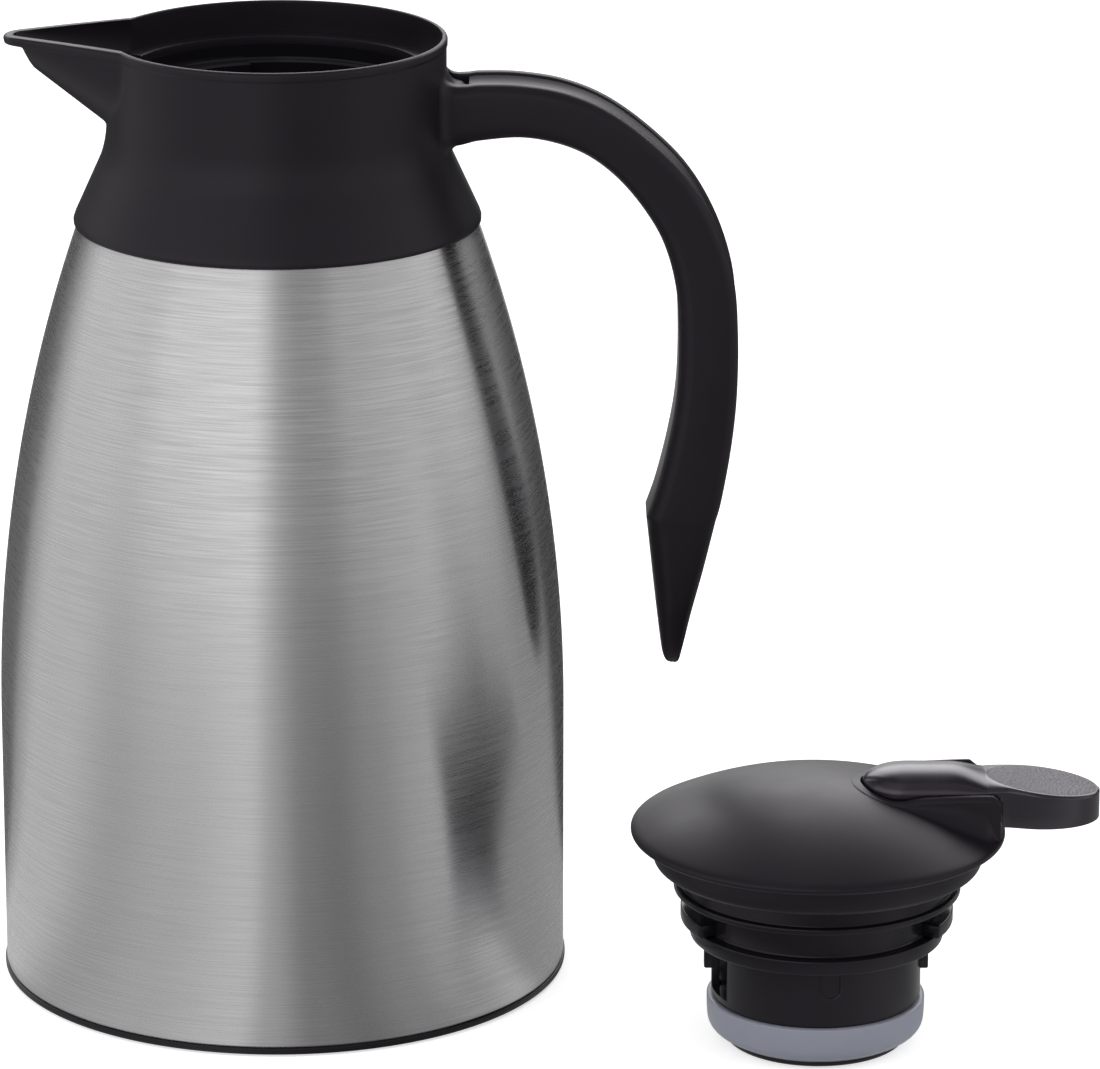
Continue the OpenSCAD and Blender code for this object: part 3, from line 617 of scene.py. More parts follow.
@dataclass(frozen=True)
class Finish:
    """A material's plain values; each kind of finish adds its own surface detail."""

    name: str
    slot: str
    colour: Triple
    roughness: float
    metallic: float = 0.0
    spread: float = 0.05
    bump: float = 0.1
    depth: float = 0.02
    settings: tuple[tuple[str, object], ...] = ()

    def material(self) -> bpy.types.Material:
        """The finish's material, built on its first use."""
        found = bpy.data.materials.get(self.name)
        if found:
            return found
        made = bpy.data.materials.new(self.name)
        made.use_nodes = True
        shader = made.node_tree.nodes["Principled BSDF"]
        shader.inputs["Metallic"].default_value = self.metallic
        for key, value in self.settings:
            shader.inputs[key].default_value = value
        wiring = Wiring(made.node_tree)
        place = wiring.add("ShaderNodeTexCoord").outputs["Object"]
        self.detail(wiring, place, shader)
        return made

    def detail(self, wiring: Wiring, place: bpy.types.NodeSocket, shader: bpy.types.Node) -> None:
        """Wires the surface detail; each kind of finish has its own."""
        raise NotImplementedError

    def group(self, wiring: Wiring, builder: Callable[[], bpy.types.NodeTree], place: bpy.types.NodeSocket,
              **values: float) -> bpy.types.Node:
        """Places a shared effect group with its own values."""
        node = wiring.add("ShaderNodeGroup", {"node_tree": Effects.get(builder)}, Vector=place)
        for key, value in values.items():
            node.inputs[key].default_value = value
        return node

    def tint(self, wiring: Wiring, mask: bpy.types.NodeSocket, shader: bpy.types.Node,
             change: float) -> None:
        """Colours the shader between the finish's colour and one changed by a share, along the mask."""
        other = tuple(min(c * (1 + change), 1.0) for c in self.colour)
        mix = wiring.add("ShaderNodeMix", {"data_type": "RGBA"}, i0=mask, i6=(*self.colour, 1),
                         i7=(*other, 1))
        wiring.tree.links.new(mix.outputs[2], shader.inputs["Base Color"])

    def relief(self, wiring: Wiring, height: bpy.types.NodeSocket, shader: bpy.types.Node) -> None:
        """Gives the shader its bump."""
        bump = wiring.add("ShaderNodeBump", None, Height=height, Strength=self.bump,
                          Distance=self.depth * MM)
        wiring.tree.links.new(bump.outputs[0], shader.inputs["Normal"])


@dataclass(frozen=True)
class BrushedFinish(Finish):
    """Steel with fine lines round its axis."""

    lines: float = 1500.0

    def detail(self, wiring: Wiring, place: bpy.types.NodeSocket, shader: bpy.types.Node) -> None:
        """Wires the brush lines, with smudges that dull the shine."""
        brush = self.group(wiring, brush_lines, place, Lines=self.lines)
        marks = self.group(wiring, handling_marks, place, Scale=16.0)
        rough = wiring.math("ADD", wiring.fit(brush.outputs["Tone"], self.roughness - self.spread,
                                              self.roughness + self.spread, (0.0, 1.0)),
                            wiring.math("MULTIPLY", marks.outputs["Smudge"], 0.03))
        wiring.tree.links.new(rough, shader.inputs["Roughness"])
        self.tint(wiring, brush.outputs["Tone"], shader, -0.12)
        self.relief(wiring, brush.outputs["Height"], shader)


@dataclass(frozen=True)
class MouldedFinish(Finish):
    """Plastic or rubber from a mould, with grain of its own size."""

    grain: float = 2600.0
    marks: float = 0.04

    def detail(self, wiring: Wiring, place: bpy.types.NodeSocket, shader: bpy.types.Node) -> None:
        """Wires the grain, and smudges that change the shine a little."""
        grain = self.group(wiring, moulded_grain, place, Scale=self.grain)
        marks = self.group(wiring, handling_marks, place, Scale=24.0)
        rough = wiring.math("ADD", wiring.fit(grain.outputs["Tone"], self.roughness - self.spread,
                                              self.roughness + self.spread),
                            wiring.math("MULTIPLY", marks.outputs["Smudge"], self.marks))
        wiring.tree.links.new(rough, shader.inputs["Roughness"])
        self.tint(wiring, grain.outputs["Tone"], shader, 0.12)
        self.relief(wiring, grain.outputs["Height"], shader)


# A finish never bears a slot's name, because the frame already holds a material of that name.
STEEL_SHEEN = (("Anisotropic", 0.9), ("Anisotropic Rotation", 0.25))
BRUSHED_STEEL = BrushedFinish("belt_brushed_steel", "brushed_steel", (0.70, 0.695, 0.70), 0.265, 1.0, 0.04,
                              0.22, 0.003,
                              STEEL_SHEEN, lines=1500.0)
PLAIN_STEEL = BrushedFinish("drawn_steel", "plain_steel", (0.66, 0.66, 0.67), 0.24, 1.0, 0.04, 0.12, 0.01,
                            lines=900.0)
PLUM_SHINE = ("Specular Tint", (1.0, 0.92, 1.03, 1.0))
SATIN_BLACK = MouldedFinish("satin_black", "black_satin", (0.0066, 0.0050, 0.0074), 0.40, 0.0, 0.03, 0.14,
                            0.02,
                            (("Specular IOR Level", 0.34), PLUM_SHINE))
GLOSS_BLACK = MouldedFinish("gloss_black", "black_gloss", (0.0065, 0.0058, 0.0075), 0.16, 0.0, 0.03, 0.03,
                            0.01,
                            (("Specular IOR Level", 0.32), PLUM_SHINE), grain=500.0)
GRAINED_BLACK = MouldedFinish("grained_black", "black_satin", (0.024, 0.022, 0.028), 0.42, 0.0, 0.04, 1.0,
                              0.30,
                              (("Specular IOR Level", 0.8), PLUM_SHINE), grain=1500.0)
LEVER_BLACK = MouldedFinish("lever_black", "black_satin", (0.0078, 0.0058, 0.0088), 0.24, 0.0, 0.03, 0.06,
                            0.02,
                            (("Specular IOR Level", 0.9), PLUM_SHINE))
CLEAR_SILICONE = MouldedFinish("clear_silicone", "silicone", (0.37, 0.39, 0.47), 0.30, 0.0, 0.04, 0.05,
                               0.02,
                               (("Transmission Weight", 0.35), ("IOR", 1.41), ("Subsurface Weight", 0.25),
                                ("Subsurface Scale", 0.002)), grain=700.0)


# ---------------------------------------------------------------- the carafe


@dataclass
class Bottle:
    """The double-walled steel bottle and its bottom cap."""

    body_r: float = 65.2
    straight_top: float = 62.0
    arc_r: float = 350.0
    wall: float = 0.8
    liner: float = 0.6
    vacuum: float = 4.0
    band: float = 1.9
    collar_z: float = 178.0
    lip_z: float = 184.1
    neck_r: float = 24.8

    def side(self, inward: float, top: float, steps: int = 40) -> list[Pair]:
        """The bottle's long side, moved inwards, from the straight part up to height top."""
        reach = self.arc_r - inward
        end = math.degrees(math.asin((top - self.straight_top) / reach))
        return arc((self.body_r - self.arc_r, self.straight_top), (reach, reach), 0, end, steps)

    def side_r(self, z: float, inward: float = 0.0) -> float:
        """The side's radius at height z."""
        reach = self.arc_r - inward
        return self.body_r - self.arc_r + math.sqrt(reach ** 2 - (z - self.straight_top) ** 2)

    def shell_outline(self) -> list[Pair]:
        """The outer wall's closed section, with a rolled lower edge and a shoulder under the collar."""
        shoulder_z, rise = self.lip_z - 5.0, 4.0
        shoulder = self.side_r(self.collar_z) - 2.4
        neck = self.neck_r + self.liner
        outer, w = neck + self.wall, self.wall
        made = [(self.body_r - 0.5, self.band), (self.body_r - 0.15, self.band + 0.15),
                (self.body_r, self.band + 0.6)]
        made += self.side(0, self.collar_z)
        made += arc((outer, shoulder_z), (shoulder - outer, rise), 0, 90, 12)
        made += [(outer, self.lip_z), (neck, self.lip_z), (neck, shoulder_z + rise - w)]
        made += arc((outer, shoulder_z), (shoulder - outer - w, rise - w), 90, 0, 12)
        made += self.side(w, self.collar_z - w)[::-1]
        return made + [(self.body_r - w, self.band)]

    def liner_outline(self) -> list[Pair]:
        """The inner bottle's closed section, from the axis at its bottom out, up and back inside."""
        floor, shoulder = self.band + 3.4 + self.wall + 4, self.lip_z - 24
        neck = self.neck_r + self.liner

        def wall(inward: float, bottom: float, corner: float, neck_r: float, drop: float) -> list[Pair]:
            """One side of the wall."""
            made = [(0.0, bottom)]
            made += arc((self.body_r - inward - corner, bottom + corner), (corner, corner), 270, 360, 10)
            made += self.side(inward, shoulder)
            reach = self.side_r(shoulder, inward) - neck
            made += arc((neck, shoulder), (reach, 11 - drop), 6, 90, 16)
            return made + [(neck_r, shoulder + 11 - drop), (neck_r, self.lip_z)]

        off = self.wall + self.vacuum
        outer = wall(off, floor, 9, neck, 0)
        inner = wall(off + self.liner, floor + self.liner, 9 - self.liner, self.neck_r, self.liner)
        return outer + inner[::-1]

    def cap_outline(self) -> list[Pair]:
        """The bottom cap, from the axis out, round its edge and back to the axis above."""
        rim, top = self.body_r + 0.37, self.band
        spigot = self.body_r - 2 * self.wall - 0.3
        return rounded([(0, 0), (rim - 3, 0, 1.0), (rim, 0.35, 0.9), (rim, top, 0.2), (spigot, top),
                        (spigot, top + 2.4, 0.4),
                        (spigot - 2, top + 2.4, 0.4), (spigot - 2, top), (0, top)], closed=False)

    def base_outline(self) -> list[Pair]:
        """The steel bottom that is welded into the wall, from its port's edge out and back."""
        r, z, w = self.body_r - self.wall, self.band + 3.4, self.wall
        return rounded([(1.2, z + w), (r - 0.5, z + w, 0.6), (r, z, 0.3), (r, self.band),
                        (r - w, self.band), (r - w, z, 0.8),
                        (1.2, z)])

    def build(self, maker: Maker) -> None:
        """Makes the bottle's pieces."""
        turned, carafe = maker.turned, Body.CARAFE
        maker.dress(turned("steel_body", self.shell_outline(), segments=200), carafe, BRUSHED_STEEL,
                    "outer_shell")
        maker.dress(turned("inner_bottle", self.liner_outline(), closed=False, segments=160), carafe,
                    PLAIN_STEEL,
                    "inner_liner")
        maker.dress(turned("bottom_cap", self.cap_outline(), closed=False, segments=200), carafe,
                    SATIN_BLACK, "base_cover")
        maker.dress(turned("steel_bottom", self.base_outline()), carafe, PLAIN_STEEL, "shell_base")
        for node in ("port_seal", "getter"):
            maker.dress(maker.carried(node), carafe, PLAIN_STEEL, node)


@dataclass
class Spout:
    """The open spout as a tilted cone with a rounded nose, seen from the axis."""

    tip: Triple = (-66.3, 0.0, 222.2)
    half_angle: float = 30.3
    tilt: float = 7.2
    nose: float = 5.3
    keel_x: float = 56.9

    def reach(self, angle: float, z: float, grow: float = 0.0) -> float:
        """How far the spout reaches from the axis.

        Args:
            angle: direction from the axis in degrees; 180 is the spout's own.
            z: height.
            grow: how far the surface is moved outwards.

        Returns:
            The radius at which the ray leaves the spout, or 0 where it misses it.
        """
        half, tilt = math.radians(self.half_angle), math.radians(self.tilt)
        nose = max(self.nose + grow, 0.35)
        axis = Vector((math.cos(tilt), 0, -math.sin(tilt)))
        centre = Vector(self.tip) + axis * (self.nose / math.sin(half))
        apex = centre - axis * (nose / math.sin(half))
        ray = Vector((math.cos(math.radians(angle)), math.sin(math.radians(angle)), 0))
        start = Vector((0, 0, z)) - apex
        k = math.cos(half) ** 2
        a = ray.dot(axis) ** 2 - k
        b = 2 * (ray.dot(axis) * start.dot(axis) - k * ray.dot(start))
        c = start.dot(axis) ** 2 - k * start.dot(start)
        disc = b * b - 4 * a * c
        best = 0.0
        if disc >= 0 and abs(a) > 1e-12:
            for sign in (-1, 1):
                t = (-b + sign * math.sqrt(disc)) / (2 * a)
                along = (start + ray * t).dot(axis)
                if t > 0 and along > 0:
                    best = max(best, t) if c > 0 else best
                    if along < nose * math.cos(half) ** 2 / math.sin(half):
                        best = 0.0
                        break
        rel = Vector((0, 0, z)) - centre
        b2, c2 = ray.dot(rel), rel.dot(rel) - nose * nose
        if best == 0.0 and b2 * b2 - c2 > 0:
            hit = -b2 + math.sqrt(b2 * b2 - c2)
            if (rel + ray * hit).dot(axis) < -nose * math.sin(half) * 0.98:
                best = max(best, hit)
        return best


@dataclass
class Collar:
    """The neck collar with its open spout, and the ring in its mouth."""

    bottle: Bottle = field(default_factory=Bottle)
    spout: Spout = field(default_factory=Spout)
    rim_z: float = 220.6
    foot_r: float = 46.3
    waist_r: float = 38.5
    rim_r: float = 38.5
    mouth_r: float = 37.5
    wall: float = 2.2
    ledge_z: float = 213.3
    ledge_t: float = 2.0
    lip_r: float = 33.2
    gap_angle: float = 20.9
    bead_h: float = 1.9
    bead: float = 0.45
    rise: float = 0.42

    def plain(self) -> list[Pair]:
        """The collar's outer line away from the spout, rising from the foot to the rim."""
        foot = self.bottle.collar_z
        line = [(self.foot_r - 0.6, foot), (self.foot_r - 0.22, foot + 0.14),
                (self.foot_r - 0.02, foot + 0.45),
                (self.foot_r, foot + 1.0), (self.foot_r - 0.35, foot + 2.0)]
        line += arc((self.waist_r + 25, self.rim_z - 19), (25, 25), 199.9, 180, 12)
        return line + [(self.rim_r, self.rim_z - 3.0), (self.rim_r, self.rim_z + 1)]

    def edge_z(self, angle: float) -> float:
        """Height of the upper edge, which rises a little towards the spout's tip."""
        return self.rim_z + self.rise * between(abs(abs(angle) - 180), 42, 2)

    def outside(self, angle: float, z: float) -> float:
        """The outer surface's radius at an angle and height, with the spout and the edge's bead."""
        off = abs(abs(angle) - 180)
        down = self.edge_z(angle) - z
        bead = self.bead * between(down, self.bead_h + 0.35, self.bead_h - 0.1)
        crown = 0.85 - math.sqrt(max(0.85 ** 2 - max(0.85 - down, 0.0) ** 2, 0.0))
        plain = read_at(self.plain(), z) + 0.55 * bead - crown
        if off > 50:
            return plain
        spout = self.spout.reach(angle, z, bead - 0.2)
        if down > self.bead_h:
            keel = (self.spout.keel_x - 0.45 * (down - self.bead_h)) / math.cos(math.radians(off))
            near = between(down, self.bead_h, self.bead_h + 0.5)
            spout = spout * (1 - near) + min(spout, keel) * near
        spout -= crown if spout > plain else 0.0
        soft = 0.55
        h = max(soft - abs(plain - spout), 0.0) / soft
        return max(plain, spout) + h * h * soft * 0.25

    def inside(self, angle: float, z: float) -> float:
        """The inner surface's radius in the mouth and the spout's channel."""
        off = abs(abs(angle) - 180)
        if off > 50:
            return self.mouth_r
        return max(self.mouth_r, self.spout.reach(angle, z, -2.05))

    def heights(self) -> list[float]:
        """The heights of the outer surface's rows."""
        foot, rim = self.bottle.collar_z, self.rim_z
        made = [foot, foot + 0.14, foot + 0.45, foot + 1.0, foot + 2.0]
        made += [foot + 2.0 + (198.5 - foot - 2.0) * i / 14 for i in range(1, 15)]
        made += [198.5 + (rim - 4.5 - 198.5) * i / 22 for i in range(1, 23)]
        made += [rim - 4.5 + 2.2 * i / 7 for i in range(1, 8)]
        return made + [rim - d for d in (2.2, 2.1, 2.0, 1.9, 1.75, 1.4, 1.0, 0.8, 0.6, 0.42, 0.27, 0.15,
                                         0.06, 0.0)]

    def section(self, angle: float) -> list[Pair]:
        """The collar's closed section at an angle."""
        rim, ledge, low = self.edge_z(angle), self.ledge_z, self.ledge_z - self.ledge_t
        back = self.waist_r - self.wall
        lift = (rim - self.rim_z) / (self.rim_z - 200)
        line = [(self.outside(angle, z), z) for z in (h + max(h - 200, 0) * lift for h in self.heights())]
        top = self.inside(angle, rim)
        line += [(max(line[-1][0] - 0.1, top + 0.35), rim), (top + 0.25, rim), (top + 0.06, rim - 0.12),
                 (self.inside(angle, rim - 0.4), rim - 0.4)]
        line += [(self.inside(angle, z),
                  z) for z in (rim - 0.8 - (rim - 0.8 - ledge) * i / 10 for i in range(11))]
        here = line[-1][0]
        if abs(abs(angle) - 180) < self.gap_angle:
            end = ledge
            while end > 201.2 and self.spout.reach(angle, end, -2.05) > back:
                end -= 0.1
            for i in range(1, 10):
                z = ledge + (end - ledge) * i / 9
                line.append((max(self.spout.reach(angle, z, -2.05), back), z))
            line.append((back, min(end, 201.1)))
        else:
            line += [(here - (here - self.lip_r - 0.3) * 0.5, ledge), (self.lip_r + 0.3, ledge),
                     (self.lip_r + 0.06, ledge - 0.12), (self.lip_r, ledge - 0.4), (self.lip_r, low),
                     (34.5, low),
                     (back, low), (back, 208.0), (back, 205.0), (back, 201.1)]
        cone = self.waist_r + 25 * (1 - math.cos(math.radians(19.9)))
        shoulder = self.bottle.side_r(self.bottle.collar_z) - 2.4
        seat = self.bottle.lip_z - 5
        return line + [(cone - self.wall, 193.1), (shoulder + 0.6, seat + 1.6),
                       (shoulder + 0.3, seat + 0.2),
                       (self.foot_r - 0.8, self.bottle.collar_z)]

    def angles(self) -> list[float]:
        """The columns' angles, close together round the spout and at the pouring gap's two sides."""
        offsets = [0.0]
        for step, end in ((0.25, 5.0), (0.5, 14.0), (0.8, 48.0), (2.4, 178.0)):
            while offsets[-1] + step <= end:
                offsets.append(offsets[-1] + step)
        offsets += [self.gap_angle - 0.02, self.gap_angle + 0.02]
        turns = sorted(set(offsets))
        return [180 + t for t in turns] + [180 - t + 360 for t in reversed(turns) if t > 0]

    def ring_section(self, angle: float) -> list[Pair]:
        """The mouth ring's closed section, with its bayonet ring, its entry notches and the pouring gap."""
        floor, top, step = self.bottle.lip_z + 1.1, self.ledge_z - self.ledge_t, self.ledge_z - 5.4
        low = step - 3.7
        turn = (angle - 72) % 180
        notch = min(turn, 180 - turn) < 32
        chamber, bore = 31.4, 25.1
        lock = chamber if notch else 29.4
        line = [(bore, floor), (34.9, floor), (34.9, top), (self.lip_r, top), (self.lip_r, step + 0.4),
                (self.lip_r - 0.4, step), (lock + 0.5, step), (lock, step - 0.5), (lock, low + 0.4),
                (lock + 0.4, low),
                (chamber, low), (chamber, floor + 2.4), (chamber - 0.8, floor + 1.6),
                (bore + 0.5, floor + 1.6),
                (bore, floor + 1.1)]
        if abs(abs((angle + 180) % 360 - 180) - 180) < self.gap_angle:
            cut = self.rim_z - 16.5
            line = [(r if r > chamber or z < cut else chamber, min(z, cut)) for r, z in line]
        return line

    def build(self, maker: Maker) -> None:
        """Makes the collar, the mouth ring and the gasket."""
        angles = [a if a <= 180 else a - 360 for a in self.angles()]
        maker.dress(maker.section_loft("collar_and_spout", angles, self.section, sharp=40), Body.CARAFE,
                    SATIN_BLACK,
                    "collar")
        steps = sorted(set([float(a) for a in range(0, 360, 3)] + [
            (base + side * 32 + tiny) % 360 for base in (72, 252) for side in (-1, 1) for tiny in (-0.02,
                                                                                                   0.02)] + [
            180 + side * self.gap_angle + tiny for side in (-1, 1) for tiny in (-0.02, 0.02)]))
        maker.dress(maker.section_loft("mouth_ring", steps, self.ring_section, sharp=30), Body.CARAFE,
                    GLOSS_BLACK,
                    "neck_ring")
        maker.dress(maker.carried("neck_gasket"), Body.CARAFE, CLEAR_SILICONE, "neck_gasket")


@dataclass
class Handle:
    """The open-ended handle, flared into the collar, with a cover strip in its channel."""

    collar: Collar = field(default_factory=Collar)
    width: float = 19.0
    channel: float = 9.9
    depth: float = 2.4
    flare: float = 3.4

    def stations(self) -> list[tuple[float, ...]]:
        """Outer and inner edge (x, z), width share and end chamfer along the handle."""
        return [(43.5, 210.8, 43.5, 197.3, 1.0, 0), (46.5, 211.1, 46.3, 197.9, 1, 0),
                (55.0, 210.9, 55.2, 198.6, 1, 0),
                (64.7, 209.3, 63.5, 197.2, 1, 0), (74.0, 205.6, 70.6, 194.2, 1, 0),
                (83.2, 199.2, 77.1, 189.1, 1, 0),
                (92.4, 190.2, 83.0, 182.0, 1, 0), (99.1, 179.2, 87.6, 173.9, 1, 0),
                (103.4, 166.3, 90.4, 163.5, 1, 0),
                (104.6, 153.1, 91.1, 151.5, 1, 0), (104.5, 138.6, 90.7, 138.5, 1, 0),
                (103.3, 126.0, 89.0, 127.5, 1, 0),
                (101.2, 113.5, 86.3, 116.2, 1, 0), (99.9, 108.5, 84.0, 109.3, 0.99, 0)]

    def tip(self) -> list[tuple[float, ...]]:
        """The stations of the pointed end, below the corner."""
        return [(99.9, 108.5, 84.0, 109.3, 0.99, 1), (96.9, 95.5, 85.5, 95.4, 0.9, 1),
                (94.2, 85.0, 86.7, 85.0, 0.76, 1),
                (92.4, 76.8, 87.8, 76.6, 0.52, 1), (91.7, 73.8, 88.7, 73.7, 0.32, 1),
                (90.7, 72.7, 89.7, 72.7, 0.12, 1)]

    def ring(self, width: float, thick: float, depth: float, chamfer: float) -> list[Pair]:
        """The handle's section across (u) and outwards (v).

        Args:
            width: full width.
            thick: full thickness.
            depth: the channel's depth.
            chamfer: from 0, plain, to 1, with its inner corners cut off.

        Returns:
            The closed line, always with as many points.
        """
        hw, ht = width / 2, thick / 2
        inner = min(3.6, ht * 0.75, hw * 0.75) + 1.2 * chamfer * min(1.0, ht / 6)
        lip = min(2.6, ht * 0.5, hw * 0.35)
        edge = min(self.channel / 2, hw - lip * 0.9)
        side = arc((-hw + inner, -ht + inner), (inner, inner), 180, 270, 6)
        line = side + [(-u, v) for u, v in side[::-1]]
        over = arc((hw - lip, ht - lip), (lip, lip), 0, 90, 6)
        soft = min(0.55, depth)
        down = [(edge + 0.7, ht - soft * 0.12), (edge + 0.2, ht - soft * 0.5), (edge, ht - soft),
                (edge - 0.03, ht - depth)]
        floor = [(edge * c, ht - depth) for c in (0.66, 0.33, 0.0)]
        right = over + down + floor
        return line + right + [(-u, v) for u, v in right[::-1][1:]]

    def placed(self, station: Sequence[float], depth: float) -> list[Triple]:
        """A station's section, set in the frame."""
        x0, z0, x1, z1, share, chamfer = station
        out = Vector((x0 - x1, 0, z0 - z1))
        mid = Vector(((x0 + x1) / 2, 0, (z0 + z1) / 2))
        thick = out.length
        out.normalize()
        return [tuple(mid + out * v + Vector((0, u, 0))) for u,
                v in self.ring(self.width * share, thick, depth, chamfer)]

    def root(self) -> list[list[Triple]]:
        """The rings of the flare, from the collar's wall out to the handle's first station."""
        first = self.stations()[0]
        mid_z = (first[1] + first[3]) / 2 - 0.3
        thick = first[1] - first[3] + 0.4
        line = self.collar.plain()
        rings = []
        for step, depth in [(0, 0.0), (1, 0.0), (2, 0.0), (3, 0.15), (4, 0.35), (5, 0.45), (6, 0.5),
                            (7, 0.5), (8, 0.5)]:
            away = self.flare * (1 - step / 8) ** 1.6
            shape = self.ring(self.width, thick, depth * self.depth, 0)
            ring = []
            for u, v in shape:
                n = Vector((u / (self.width / 2) ** 2, v / (thick / 2) ** 2)).normalized()
                y, z = u + n.x * away, mid_z + v + n.y * away * (1.25 if v < 0 else 1.0)
                base = math.sqrt(max(read_at(line, z) ** 2 - y * y, 0))
                lift = self.flare - math.sqrt(max(self.flare ** 2 - (self.flare - away) ** 2, 0))
                ring.append((base - 0.12 + lift, y, z))
            rings.append(ring)
        return [[(x - 1.2, y, z) for x, y, z in rings[0]]] + rings

    def build(self, maker: Maker) -> None:
        """Makes the handle, its cover strip and its screws."""
        shaft, tip = spline(self.stations(), 6), spline(self.tip(), 6)
        rings = self.root()
        rings += [self.placed(s, self.depth) for s in shaft]
        fade = len(tip) - 1
        rings += [self.placed(s, self.depth * max(0.0, 1 - 3.0 * i / fade)) for i, s in enumerate(tip) if i]
        maker.dress(maker.loft("grip", rings, sharp=34), Body.CARAFE, SATIN_BLACK, "handle")
        strip = [self.strip_ring(s) for s in shaft[:-2]]
        maker.dress(maker.loft("grip_cover", strip, sharp=34), Body.CARAFE, SATIN_BLACK, "handle_cover")
        outline = rounded([(0, 0.35), (1.0, 0.35), (1.1, 0), (2.8, 0, 0.1), (1.5, 1.3), (1.5, 14, 0.3),
                           (0, 14)], closed=False)
        screw = maker.turned("grip_screws", outline, closed=False, segments=32)
        screw.data.transform(Matrix.Rotation(math.radians(90), 4, "Y"))
        place = (36.3 * MM, -4.5 * MM, 203.8 * MM)
        maker.bake(screw, maker.row, Count=2, Start=place, Step=(0, 9 * MM, 0))
        maker.mend(screw, 30)
        maker.dress(screw, Body.CARAFE, PLAIN_STEEL, "handle_screws")

    def strip_ring(self, station: Sequence[float]) -> list[Triple]:
        """The cover strip's section at a station, dished along its middle."""
        x0, z0, x1, z1 = station[:4]
        out = Vector((x0 - x1, 0, z0 - z1))
        top, half = out.length / 2, self.channel / 2 - 0.2
        mid = Vector(((x0 + x1) / 2, 0, (z0 + z1) / 2))
        out.normalize()
        across = (-0.96, -0.8, -0.55, -0.28, 0.0, 0.28, 0.55, 0.8, 0.96)
        face = [(half * c, top - 0.5 - 1.15 * (1 - c * c)) for c in across]
        line = [(half, top - 0.75), (half, top - self.depth + 0.02), (-half, top - self.depth + 0.02),
                (-half, top - 0.75)]
        return [tuple(mid + out * v + Vector((0, u, 0))) for u, v in face + line]


# ---------------------------------------------------------------- the lid


